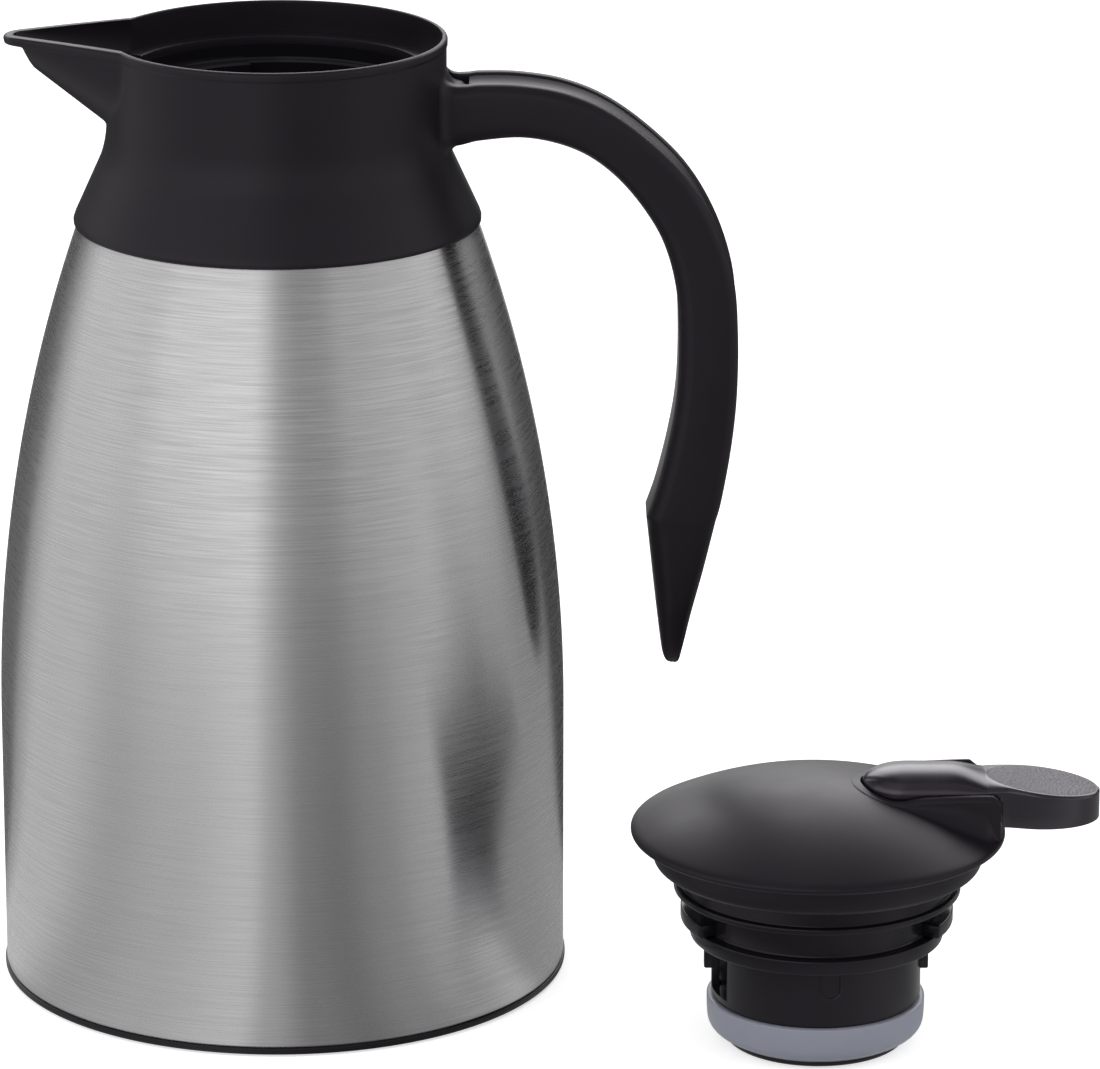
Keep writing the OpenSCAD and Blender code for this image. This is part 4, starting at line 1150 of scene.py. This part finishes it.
@dataclass
class Lid:
    """The stopper, its seal, and the dome with the lever's housing."""

    x: float = 122.2
    y: float = -51.8
    dome_r: float = 42.2
    dome_z: float = 48.7
    wide_z: float = 50.0
    rise: float = 11.4
    power: float = 2.0
    skirt_r: float = 37.3
    skirt_z: float = 41.4
    arm_w: float = 18.0
    arm_end: float = 9.9
    arm_z: float = 59.2
    pod_end: float = 40.4
    lip_near: float = 61.1
    lip_far: float = 62.9
    lip_start_drop: float = 0.7
    lip_end_drop: float = 1.3
    flush: float = 0.2
    far_short: float = 4.2
    fillet: float = 4.2
    block_floor: float = 0.3
    gap: float = 0.4
    lip: float = 2.0

    @property
    def centre(self) -> Pair:
        """Where the lid stands."""
        return (self.x, self.y)

    def at(self, piece: bpy.types.Object) -> bpy.types.Object:
        """Moves a mesh that was made about the lid's own axis to where the lid stands."""
        piece.data.transform(Matrix.Translation((self.x * MM, self.y * MM, 0)))
        return piece

    def dome_top(self, r: float) -> float:
        """The dome's height at a radius."""
        share = min(r / (self.dome_r - 0.8), 1.0)
        return self.wide_z + 0.9 + (self.rise - 0.9) * (1 - share ** self.power)

    def dome_outline(self) -> list[Pair]:
        """The dome's section: cap, rolled edge, groove line under it and the plug that holds it."""
        edge = [(33.2, self.dome_z), (self.skirt_r + 0.6, self.dome_z, 0.2),
                (self.skirt_r + 0.9, self.dome_z + 0.5, 0.2),
                (self.dome_r - 1.9, self.dome_z - 0.1, 0.5), (self.dome_r - 0.1, self.wide_z - 0.9, 0.9),
                (self.dome_r, self.wide_z + 0.3, 0.6)]
        low = rounded([(33.1, self.dome_z - 5)] + edge + [(self.dome_r - 0.8, self.wide_z + 0.9)],
                      closed=False)
        cap = [(r, self.dome_top(r)) for r in ((self.dome_r - 0.8) * (1 - i / 40) for i in range(41))]
        under = [(r, self.dome_top(r) - 2) for r in (29.5 * i / 12 for i in range(13))]
        return low + cap + under + [(31.1, self.dome_z + 2.5), (31.1, self.dome_z - 5),
                                    (33.1, self.dome_z - 5)]

    def arm_outline(self, grow: float, end: float, start: Optional[float] = None) -> list[Pair]:
        """The lever arm's plan, grown outwards, from its round inner end to x = end."""
        half = self.arm_w / 2 + grow
        cx = self.arm_end + self.arm_w / 2
        line = arc((cx, 0), (half, half), 270, 90, 24)
        return [(end, -half)] + line + [(end, half)]

    def housing_rings(self) -> list[list[Triple]]:
        """The raised lip and concave flanks round the lever's recess, as sections along a U-shaped line."""
        half = self.arm_w / 2 + self.gap + self.lip
        cx = self.arm_end + self.arm_w / 2
        steps = [(self.pod_end - (self.pod_end - cx) * i / 24, -half, 0.0, -1.0) for i in range(24)]
        far_end = self.pod_end - self.far_short
        steps += [(x, y, (x - cx) / half, y / half) for x, y in arc((cx, 0), (half, half), 270, 90, 36)]
        steps += [(far_end - (far_end - cx) * i / 24, half, 0.0, 1.0) for i in range(24)][::-1]
        rings = []
        for x, y, nx, ny in steps:
            base = self.dome_top(math.hypot(x, y))
            rise = between(x, cx - 7, cx + 5)
            crest = self.lip_near + (self.lip_far - self.lip_near) * between(y, -half, half)
            crest -= self.lip_start_drop * (1 - between(x, cx - 4, self.pod_end - 4))
            low = base + self.flush
            top = low * (1 - rise) + max(crest, low) * rise
            end = self.pod_end if y < 0 else far_end
            top -= self.lip_end_drop * between(x, end - 2.2, end) ** 2
            room = math.sqrt(max((self.dome_r - 0.9) ** 2 - x * x, 0.0)) - abs(y)
            side = 0.75 * room if abs(ny) > 0.99 else self.fillet
            spread = max(min(0.7 * (top - base), side, self.fillet), 0.2)
            slope = min(1.3, 0.5 * (top - base))
            ring: list[Triple] = []

            def put(d: float, z: float) -> None:
                """Adds a point at distance d outwards and height z."""
                ring.append((x + nx * d, y + ny * d, z))

            put(-self.lip, self.arm_z - 1.0)
            put(-self.lip, top - 0.35)
            for d, drop in ((-self.lip + 0.1, 0.12), (-self.lip + 0.35, 0.0), (-self.lip + 0.7, 0.02),
                            (-0.8, 0.1), (-0.4, 0.3), (-0.12, 0.6), (0.0, 1.0)):
                put(d, top - drop * slope)
            for k in range(0, 13):
                t = (k / 12) ** 1.4
                d = spread * t
                r = math.hypot(x + nx * d, y + ny * d)
                ground = self.dome_top(r) if r < self.dome_r - 0.8 else self.wide_z + 0.3
                curl = 1 - math.sqrt(max(1 - (1 - t) ** 2, 0))
                put(d, ground - 0.04 + min(spread * 1.25, max(top - slope - ground, 0.0)) * curl)
            put(spread, self.dome_top(min(math.hypot(x + nx * spread, y + ny * spread),
                                          self.dome_r - 0.8)) - 1.0)
            put(0.0, base - 1.0)
            put(-self.lip, min(self.arm_z - 1.0, base - 1.4))
            rings.append(ring)
        return rings

    def build_dome(self, maker: Maker) -> None:
        """Makes the dome with the lever's recess, well and housing."""
        shell = maker.turned("dome_shell", self.dome_outline(), closed=True, segments=180)
        floor = self.arm_z - self.block_floor
        half = self.arm_w / 2 + self.gap
        tools = [maker.prism("recess", self.arm_outline(self.gap, 46), floor, 70),
                 maker.prism("well", [(24, -half), (46, -half), (46, half), (24, half)], self.dome_z + 1.5,
                             70),
                 maker.prism("hollow", [(-6, -half), (25, -half), (25, half), (-6, half)], self.dome_z - 4,
                             self.arm_z - 1.8)]
        maker.cut(shell, *tools)
        lip = maker.loft("lip", self.housing_rings(), sharp=34)
        end_top = self.arm_z - (self.pod_end - 30) * math.sin(math.radians(8)) - self.gap - 0.3
        block = maker.prism("block", [(22, -half - 0.5), (self.pod_end - 0.05, -half - 0.5),
                                      (self.pod_end - 0.05, half + 0.5),
                                      (22, half + 0.5)], self.wide_z + 0.4, floor)
        maker.cut(block, maker.prism("pit", [(24, -half), (self.pod_end - 2, -half),
                                             (self.pod_end - 2, half), (24, half)],
                                     self.dome_z + 2, 70),
                  maker.prism("slot", [(30, -half), (50, -half), (50, half), (30, half)], end_top, 70))
        dome = maker.join("dome", [shell, lip, block])
        dome.data.shade_smooth()
        dome.data.set_sharp_from_angle(angle=math.radians(38))
        maker.dress(self.at(dome), Body.LID, SATIN_BLACK, "lid_dome")

    def skirt_outline(self) -> list[Pair]:
        """The matte band under the dome."""
        r, z = self.skirt_r, self.skirt_z
        return rounded([(31.0, z), (r - 3.4, z, 0.4), (r - 0.4, z + 1.2, 2.0), (r, z + 3.2, 0.8),
                        (r, self.dome_z - 0.3, 0.3),
                        (r - 2, self.dome_z - 0.3), (r - 2, z + 2, 0.8), (31.0, z + 2)], steps=6)

    def stopper_outline(self) -> list[Pair]:
        """The stopper's section: spigot, barrel, guide ring, root, flange and the tube up to the dome."""
        return rounded([(17.2, 1.4), (19.0, 1.4), (19.0, 10.7), (23.7, 10.7, 0.4), (23.7, 25.0, 0.5),
                        (28.6, 25.0, 0.5),
                        (28.9, 28.5, 0.4), (26.6, 28.5, 0.5), (26.6, 36.0, 0.7), (32.4, 36.0, 0.35),
                        (32.4, 37.4, 0.35),
                        (31.0, 37.4, 0.3), (31.0, 46.7, 0.3), (29.0, 46.7), (29.0, 37.4), (24.6, 36.4),
                        (24.6, 27.0),
                        (5.0, 27.0), (5.0, 30.0, 0.3), (2.55, 30.0), (2.55, 25.0), (21.9, 25.0, 1.0),
                        (21.9, 12.7, 0.6),
                        (17.2, 12.7)], steps=3)

    def sector(self, inner: float, outer: float, start: float, end: float, steps: int = 24) -> list[Pair]:
        """The plan of a ring's part between two angles."""
        return arc((0, 0), (outer, outer), start, end, steps) + arc((0, 0), (inner, inner), end, start,
                                                                    steps)

    def build_stopper(self, maker: Maker) -> None:
        """Makes the stopper with its window, lugs, nibs and the ribs moulded on its front."""
        body = maker.turned("barrel", self.stopper_outline(), segments=180, sharp=34)
        sill, top = 12.7, 24.2
        windows = [maker.prism("window", self.sector(19, 26, a, b), sill, top) for a,
                   b in ((156.0, 175.6), (184.4, 210.0))]
        maker.cut(body, *windows)
        extras = []
        for side in (0, 180):
            extras.append(maker.prism("lug", self.sector(25.8, 30.8, side - 30, side + 30), 28.9, 32.0,
                                      0.35))
        for side in (-1, 1):
            x = side * 24.1
            extras.append(maker.prism("nib", [(x - 1.3, -1.8), (x + 1.3, -1.8), (x + 1.3, 1.8),
                                              (x - 1.3, 1.8)], 16.8, 21.0, 0.4))
        extras += self.front_ribs(maker)
        body = maker.join("stopper", [body, *extras])
        body.data.shade_smooth()
        body.data.set_sharp_from_angle(angle=math.radians(38))
        maker.dress(self.at(body), Body.LID, GLOSS_BLACK, "stopper_body")

    def front_ribs(self, maker: Maker) -> list[bpy.types.Object]:
        """The thin U-shaped rib under the guide ring and the parting line on the stopper's front."""
        width, high, low = 4.5, 24.9, 17.6
        path: list[Pair] = [(-width / 2, high), (-width / 2, low + 2.2)]
        path += arc((0, low + 2.2), (width / 2, 2.2), 180, 360, 12)[1:]
        path += [(width / 2, high)]
        shift = 2.3
        made = [self.rib(maker, [(u + shift, z) for u, z in path], 23.62, 0.32)]
        made.append(self.rib(maker, [(shift, z) for z in (10.9, 13.0, 15.0, 18.0)], 23.62, 0.14))
        made.append(self.rib(maker, [(shift, z) for z in (28.6, 30.0, 32.0)], 26.55, 0.14))
        return made

    def rib(self, maker: Maker, path: Sequence[Pair], radius: float, thick: float) -> bpy.types.Object:
        """A thin round rib on the barrel, along (arc length, height) points about its front."""
        rings = []
        for i, (s, z) in enumerate(path):
            a, b = Vector(path[max(i - 1, 0)]), Vector(path[min(i + 1, len(path) - 1)])
            way = (b - a).normalized()
            ring = []
            for k in range(8):
                c, n = math.cos(math.tau * k / 8) * thick, math.sin(math.tau * k / 8) * thick
                angle = math.radians(-90) + (s - way.y * c) / radius
                r = radius + n
                ring.append((r * math.cos(angle), r * math.sin(angle), z + way.x * c))
            rings.append(ring)
        return maker.loft("rib", rings, sharp=60)

    def seal_outline(self) -> list[Pair]:
        """The silicone seal: a soft cup with a bead round its top edge."""
        return rounded([(19.0, 1.4), (20.5, 1.4, 0.5), (24.4, 3.6, 2.6), (24.7, 8.0, 1.2),
                        (24.7, 10.5, 0.5), (24.2, 10.7, 0.2),
                        (19.0, 10.7)], steps=6)

    def foot_outline(self) -> list[Pair]:
        """The disc that holds the seal and forms the valve's seat."""
        return rounded([(10.0, 0, 0.4), (19.6, 0, 0.5), (20.4, 0.5, 0.4), (20.4, 1.4, 0.2), (17.2, 1.4),
                        (17.2, 6.0, 0.3),
                        (15.8, 6.0, 0.3), (15.8, 3.0, 0.4), (10.0, 3.0, 0.4)])

    def build(self, maker: Maker) -> None:
        """Makes the lid's pieces."""
        self.build_dome(maker)
        self.build_stopper(maker)
        turned = maker.turned
        maker.dress(turned("lid_band", self.skirt_outline(), centre=self.centre, segments=180), Body.LID,
                    SATIN_BLACK,
                    "lid_skirt")
        maker.dress(turned("seal_cup", self.seal_outline(), centre=self.centre), Body.LID, CLEAR_SILICONE,
                    "neck_seal")
        maker.dress(turned("foot_disc", self.foot_outline(), centre=self.centre), Body.LID, GLOSS_BLACK,
                    "seal_retainer")
        for node, finish in (("lever_pin", PLAIN_STEEL), ("stem_seal", CLEAR_SILICONE)):
            maker.dress(maker.carried(node), Body.LID, finish, node)


@dataclass
class Lever:
    """The thumb lever: arm, round pad, hub and the fork that lifts the valve."""

    lid: Lid = field(default_factory=Lid)
    top: float = 65.0
    edge: float = 61.2
    pad_x: float = 50.2
    pad_r: float = 13.1
    pad_half: float = 10.35
    pad_z: float = 53.0
    pad_top: float = 61.3
    slope: float = 7.6
    face_r: float = 12.6
    face_half: float = 9.5
    pad_gap: float = 0.55
    pin_x: float = 30.0
    pin_z: float = 55.5

    def half_width(self, x: float) -> float:
        """Half of the lever's width in plan at x: round inner end, straight arm, oval pad."""
        half = self.lid.arm_w / 2
        start = self.lid.arm_end
        if x < start + half:
            arm = math.sqrt(max(half ** 2 - (start + half - x) ** 2, 0))
        else:
            arm = half if x < self.pad_x else 0.0
        pad = self.pad_half * math.sqrt(max(1 - ((x - self.pad_x) / self.pad_r) ** 2, 0))
        blend = 1.2
        h = max(blend - abs(arm - pad), 0.0) / blend
        return max(arm, pad) + (h * h * blend * 0.25 if 36 < x < 50 else 0.0)

    def face_width(self, x: float) -> float:
        """Half of the grained face's width at x."""
        return self.face_half * math.sqrt(max(1 - ((x - self.pad_x) / self.face_r) ** 2, 0))

    def top_z(self, x: float) -> float:
        """Height of the lever's top along its middle: blunt inner end, level arm, sloping pad."""
        pad = self.pad_top - (x - self.pad_x) * math.tan(math.radians(self.slope))
        back = self.lid.arm_end + 10.5
        crest = self.edge + (self.top - self.edge) * math.sqrt(max(1 - (max(back - x, 0) / 10.6) ** 2, 0))
        start = self.pad_x - self.face_r
        mix = between(x, start - 9, start + 1.5)
        return crest * (1 - mix) + pad * mix

    def ring(self, x: float) -> list[Triple]:
        """The lever's upright section at x."""
        half = max(self.half_width(x), 0.05)
        top, flat = self.top_z(x), min(self.face_width(x), half * 0.93)
        low = self.lid.arm_z if x < self.lid.pod_end + self.pad_gap else self.pad_z
        crown = (top - self.edge + 0.4) * (1 - between(x, 33, 47)) + 0.85 * between(x, 33, 47)
        crown = min(crown, 0.8 * (top - low))
        foot = min(0.5, half * 0.4)
        side = [(half - foot, low), (half - foot * 0.3, low + foot * 0.3), (half, low + foot)]
        side += [(half, low + foot + (top - crown - low - foot) * t) for t in (0.4, 0.8)]
        side += arc((flat, top - crown), (half - flat, crown), 0, 84, 10)
        side += [(flat * s, top) for s in (1.0, 0.85, 0.6, 0.3)]
        return [(x, y, z) for y, z in side] + [(x, 0.0, top)] + [(x, -y, z) for y, z in side[::-1]]

    def build(self, maker: Maker) -> None:
        """Makes the lever and sets it on its own body."""
        start, end = self.lid.arm_end, self.pad_x + self.pad_r
        step = self.lid.pod_end + self.pad_gap
        xs = [start + 9 * (1 - math.cos(math.radians(a))) for a in range(2, 90, 6)]
        xs += [19.5 + i for i in range(0, 14)] + [33 + i * 0.5 for i in range(0, 21)] + [step - 0.01,
                                                                                         step + 0.01]
        xs += [self.pad_x - self.pad_r * math.cos(math.radians(a)) for a in range(56, 179, 4)]
        xs += [self.pad_x - self.face_r * math.cos(math.radians(a)) for a in (2, 5, 9, 14, 20, 27, 166, 171,
                                                                              175)]
        arm = maker.loft("arm", [self.ring(x) for x in sorted(set(xs)) if start < x < end], sharp=36)
        hub = self.barrel(maker)
        whole = maker.join("thumb_lever_piece", [arm, *hub])
        whole.data.shade_smooth()
        whole.data.set_sharp_from_angle(angle=math.radians(36))
        maker.dress(self.lid.at(whole), Body.LEVER, LEVER_BLACK, "thumb_lever")
        pad = maker.mesh("thumb_grain", *self.pad_face())
        maker.dress(self.lid.at(pad), Body.LEVER, GRAINED_BLACK)

    def barrel(self, maker: Maker) -> list[bpy.types.Object]:
        """The hub round the pin and the fork under the stem's cap."""
        ring = arc((self.pin_x, self.pin_z), (3.3, 3.3), 0, 360, 32)[:-1]
        hub = maker.loft("hub", [[(x, y, z) for x, z in ring] for y in (-8.5, 8.5)])
        maker.eased(hub, 0.3)
        web = maker.prism("web", [(27.6, -8.5), (32.4, -8.5), (32.4, 8.5), (27.6, 8.5)], self.pin_z,
                          self.lid.arm_z + 1)
        fork = []
        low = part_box("stem_cap")[0].z / MM - 2.6
        line = [(-3.4, low), (5, low), (26.6, 53.1), (30, 53.1), (30, 55.7), (25, 55.7), (5, low + 2),
                (-3.4, low + 2)]
        for side in (-1, 1):
            fork.append(maker.loft("prong", [[(x, side * y, z) for x, z in line] for y in (3.2, 5.0)]))
        fork.append(maker.loft("shank", [[(x, y, z) for x, z in line if x > 4.9] for y in (-4.9, 4.9)]))
        return [hub, web, *fork]

    def pad_face(self) -> tuple[list[Triple], list[tuple[int, ...]]]:
        """The grained disc on the pad's top, a thin lens just above it."""
        points: list[Triple] = []
        faces: list[tuple[int, ...]] = []
        rings, columns = 14, 72
        for layer in (0, 1):
            for i in range(rings + 1):
                share = i / rings * 0.985
                for k in range(columns):
                    a = math.tau * k / columns
                    x = self.pad_x + self.face_r * share * math.cos(a)
                    y = self.face_half * share * math.sin(a)
                    lift = 0.12 * (1 - (i / rings) ** 10) if layer == 0 else -0.25
                    points.append((x, y, self.top_z(x) + lift))
        for layer in (0, 1):
            base = layer * (rings + 1) * columns
            for i in range(rings):
                for k in range(columns):
                    a, b = base + i * columns + k, base + i * columns + (k + 1) % columns
                    faces.append((a, b, b + columns, a + columns))
        outer = rings * columns
        other = (2 * rings + 1) * columns
        faces += [(outer + k, outer + (k + 1) % columns, other + (k + 1) % columns,
                   other + k) for k in range(columns)]
        return points, faces


@dataclass
class Valve:
    """The spring-loaded valve in the stopper."""

    lid: Lid = field(default_factory=Lid)
    stem_r: float = 2.5
    disc_r: float = 13.2
    seat_z: float = 3.1

    def build(self, maker: Maker) -> None:
        """Makes the stem, its cap, the disc with its gasket, and the spring."""
        turned, at = maker.turned, self.lid.centre
        low = self.seat_z + 1.6
        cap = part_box("stem_cap")
        cap_z, cap_top = cap[0].z / MM, cap[1].z / MM
        stem = rounded([(0, low), (self.stem_r, low, 0.2), (self.stem_r, cap_z, 0.1), (0, cap_z)],
                       closed=False)
        maker.dress(turned("stem", stem, False, 48, at), Body.VALVE, PLAIN_STEEL, "valve_stem")
        head = rounded([(0, cap_z), (5, cap_z, 0.2), (5, cap_top, 0.4), (0, cap_top)], closed=False)
        maker.dress(turned("stem_head", head, False, 64, at), Body.VALVE, GLOSS_BLACK, "stem_cap")
        r = self.disc_r
        disc = rounded([(self.stem_r, low), (r, low, 0.4), (r, low + 1.6, 0.5), (r - 2.5, low + 2.0, 0.5),
                        (6, low + 2.8, 0.4), (self.stem_r, low + 2.8)])
        maker.dress(turned("valve_disc", disc, True, 120, at), Body.VALVE, GLOSS_BLACK, "valve_poppet")
        gasket = rounded([(0, self.seat_z), (r - 0.6, self.seat_z, 0.4), (r - 0.6, low, 0.3), (0, low)],
                         closed=False)
        maker.dress(turned("valve_gasket", gasket, False, 120, at), Body.VALVE, CLEAR_SILICONE,
                    "poppet_gasket")
        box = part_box("valve_spring")
        wire = 0.5
        rise = (box[1].z - box[0].z) / MM - 2 * wire
        spring = maker.mesh("return_spring", [(0, 0, 0)], [], mend=False)
        maker.bake(spring, maker.coil, Coil_Radius=7 * MM, Wire_Radius=wire * MM, Rise=rise * MM, Turns=5.0)
        spring.data.transform(Matrix.Translation((at[0] * MM, at[1] * MM, box[0].z + wire * MM)))
        maker.mend(spring, 50)
        maker.dress(spring, Body.LID, PLAIN_STEEL, "valve_spring")


# ---------------------------------------------------------------- the studio


@dataclass
class Studio:
    """The pale floor, the surroundings that the steel mirrors, the lamps and the camera."""

    camera_at: Triple = (56.631, -1432.640, 539.381)
    right: Triple = (0.999993, -0.003184, 0.00172)
    forward: Triple = (0.0035471, 0.9566378, -0.2912586)
    lens: float = 212.608
    backlight: float = 2.8
    even_light: float = 0.75
    floor_tone: float = 0.8
    floor_glow: float = 0.62
    softboxes: tuple[tuple[str, Triple, Triple, Pair, float], ...] = (
        ("left_softbox", (-1.4, -0.9, 0.9), (0, 0, 0.12), (0.7, 1.4), 9),
        ("right_softbox", (1.5, -0.8, 0.9), (0.05, 0, 0.12), (0.6, 1.4), 6),
        ("top_softbox", (0.0, 0.1, 1.7), (0.05, 0, 0.1), (1.2, 1.0), 7))
    above: tuple[Pair, ...] = ((-180, 1.0), (-172, 1.0), (-166, 0.12), (-145, 0.08), (-138, 0.3),
                               (-127, 0.46),
                               (-109, 0.76), (-72, 0.84), (-52, 1.02), (-24, 1.10), (-10, 1.10), (-4, 0.86),
                               (2, 0.56),
                               (12, 0.44), (22, 0.46), (38, 0.62), (66, 0.68), (92, 0.80), (104, 0.74),
                               (114, 0.08),
                               (126, 0.04), (140, 0.24), (150, 0.04), (166, 0.06), (172, 1.0), (180, 1.0))
    below: tuple[Pair, ...] = ((-180, 0.9), (-170, 0.9), (-163, 0.1), (-130, 0.12), (-119, 0.42),
                               (-108, 0.62),
                               (-88, 0.62), (-60, 0.44), (-35, 0.52), (-9, 0.66), (-2, 0.44), (9, 0.24),
                               (20, 0.19),
                               (35, 0.28), (50, 0.42), (64, 0.56), (76, 0.34), (92, 0.34), (110, 0.36),
                               (126, 0.34),
                               (136, 0.05), (163, 0.05), (170, 0.9), (180, 0.9))

    def camera(self) -> None:
        """Sets the camera at the photograph's view."""
        data = bpy.data.cameras.new("camera")
        data.sensor_fit, data.sensor_width, data.lens = "HORIZONTAL", 36.0, self.lens
        data.clip_end = 20
        camera = bpy.data.objects.new("camera", data)
        right, ahead = Vector(self.right).normalized(), Vector(self.forward).normalized()
        up = right.cross(ahead)
        turn = Matrix((right, up, -ahead)).transposed().to_4x4()
        camera.matrix_world = Matrix.Translation(Vector(self.camera_at) * MM) @ turn
        bpy.context.scene.collection.objects.link(camera)
        bpy.context.scene.camera = camera

    @staticmethod
    def bands(wiring: Wiring, x: bpy.types.NodeSocket, y: bpy.types.NodeSocket,
              levels: Sequence[Pair]) -> bpy.types.NodeSocket:
        """The surroundings' brightness by direction: painted bands of light and dark, as pale walls with
        darker cards between them would give.

        Args:
            wiring: the shader's wiring.
            x: the direction's x.
            y: the direction's y.
            levels: (angle, level) from -180 to 180 degrees; 0 is towards the camera, and + is to its right.

        Returns:
            The brightness.
        """
        turn = wiring.math("ARCTAN2", x, wiring.math("MULTIPLY", y, -1.0))
        share = wiring.math("ADD", wiring.math("DIVIDE", turn, math.tau), 0.5)
        ramp = wiring.add("ShaderNodeValToRGB", None, Fac=share)
        ramp.color_ramp.interpolation = "EASE"
        stops = ramp.color_ramp.elements
        for i, (angle, level) in enumerate(levels):
            at = (angle + 180) / 360
            stop = stops[i] if i < 1 else (stops[-1] if i == len(levels) - 1 else stops.new(at))
            stop.position = at
            stop.color = (level, level, level, 1)
        return ramp.outputs[0]

    def world(self) -> None:
        """White to the camera; bands and a soft light behind to mirrors; even and pale to all else."""
        world = bpy.data.worlds.new("studio")
        bpy.context.scene.world = world
        world.use_nodes = True
        wiring = Wiring(world.node_tree)
        sky = world.node_tree.nodes["Background"]
        way = wiring.add("ShaderNodeTexCoord").outputs["Generated"]
        parts = wiring.add("ShaderNodeSeparateXYZ", None, Vector=way).outputs
        band = self.bands(wiring, parts["X"], parts["Y"], self.above)
        high = wiring.fit(parts["Z"], 1.0, 0.40, (0.38, 0.72))
        back = wiring.math("MULTIPLY", wiring.fit(parts["Y"], 0.0, 1.0, (0.45, 0.62)),
                           wiring.math("MULTIPLY", wiring.fit(parts["Z"], 0.0, 1.0, (0.26, 0.38)),
                                       wiring.fit(parts["Z"], 1.0, 0.0, (0.62, 0.80))))
        glossy = wiring.math("ADD", wiring.math("MULTIPLY", band, high),
                             wiring.math("MULTIPLY", back, self.backlight))
        rays = wiring.add("ShaderNodeLightPath").outputs
        seen = wiring.math("MAXIMUM", rays["Is Camera Ray"], rays["Is Transmission Ray"])
        level = wiring.add("ShaderNodeMix", None, i0=seen, i2=self.even_light, i3=1.0).outputs[0]
        mix = wiring.add("ShaderNodeMix", None, i0=rays["Is Glossy Ray"], i2=level, i3=glossy)
        wiring.tree.links.new(mix.outputs[0], sky.inputs["Color"])

    def floor(self) -> None:
        """The floor: white to the camera with the object's soft shadow; to mirrors it glows in painted bands
        of light and dark, which the steel shows as painted reflections.
        """
        data = bpy.data.meshes.new("floor")
        data.from_pydata([(-6, -6, -0.0002), (6, -6, -0.0002), (6, 6, -0.0002), (-6, 6, -0.0002)], [],
                         [(0, 1, 2, 3)])
        floor = bpy.data.objects.new("floor", data)
        bpy.context.scene.collection.objects.link(floor)
        made = bpy.data.materials.new("studio_floor")
        made.use_nodes = True
        wiring = Wiring(made.node_tree)
        for node in list(made.node_tree.nodes):
            made.node_tree.nodes.remove(node)
        plain = wiring.add("ShaderNodeBsdfDiffuse", None, Color=(*(self.floor_tone,) * 3, 1)).outputs[0]
        rays = wiring.add("ShaderNodeLightPath").outputs
        glow = wiring.add("ShaderNodeEmission", None, Color=(1, 1, 1, 1), Strength=self.floor_glow).outputs[0]
        lit = wiring.add("ShaderNodeAddShader", None, i0=plain, i1=glow).outputs[0]
        place = wiring.add("ShaderNodeNewGeometry").outputs["Position"]
        parts = wiring.add("ShaderNodeSeparateXYZ", None, Vector=place).outputs
        # Painted light: to glossy rays only, the floor glows in bands by direction round the carafe's axis,
        # in place of real cards and walls.
        band = wiring.add("ShaderNodeEmission", None, Color=self.bands(wiring, parts["X"], parts["Y"],
                                                                       self.below),
                           Strength=1.0).outputs[0]
        seen = wiring.math("MAXIMUM", rays["Is Camera Ray"], rays["Is Transmission Ray"])
        first = wiring.add("ShaderNodeMixShader", None, i0=seen, i1=plain, i2=lit).outputs[0]
        last = wiring.add("ShaderNodeMixShader", None, i0=rays["Is Glossy Ray"], i1=first,
                          i2=band).outputs[0]
        out = wiring.add("ShaderNodeOutputMaterial")
        made.node_tree.links.new(last, out.inputs["Surface"])
        floor.data.materials.append(made)

    def lamp(self, name: str, place: Triple, aim: Triple, size: Pair, power: float) -> None:
        """A soft rectangular lamp that shines at a point, all in metres."""
        data = bpy.data.lights.new(name, "AREA")
        data.shape, data.size, data.size_y, data.energy = "RECTANGLE", size[0], size[1], power
        lamp = bpy.data.objects.new(name, data)
        lamp.location = place
        lamp.rotation_euler = (Vector(aim) - Vector(place)).to_track_quat("-Z", "Y").to_euler()
        lamp.visible_camera = False
        lamp.visible_glossy = False
        bpy.context.scene.collection.objects.link(lamp)

    def build(self) -> None:
        """Makes the whole studio."""
        self.camera()
        self.world()
        self.floor()
        for softbox in self.softboxes:
            self.lamp(*softbox)
        bpy.context.scene.view_settings.view_transform = "Standard"


def main() -> None:
    """Builds the classes in order."""
    logging.basicConfig(level=logging.INFO, format="%(name)s %(message)s")
    maker = Maker()
    bottle = Bottle()
    collar = Collar(bottle)
    lid = Lid()
    for part in (bottle, collar, Handle(collar), lid, Lever(lid), Valve(lid)):
        part.build(maker)
    Studio().build()


if __name__ == "__main__":
    main()
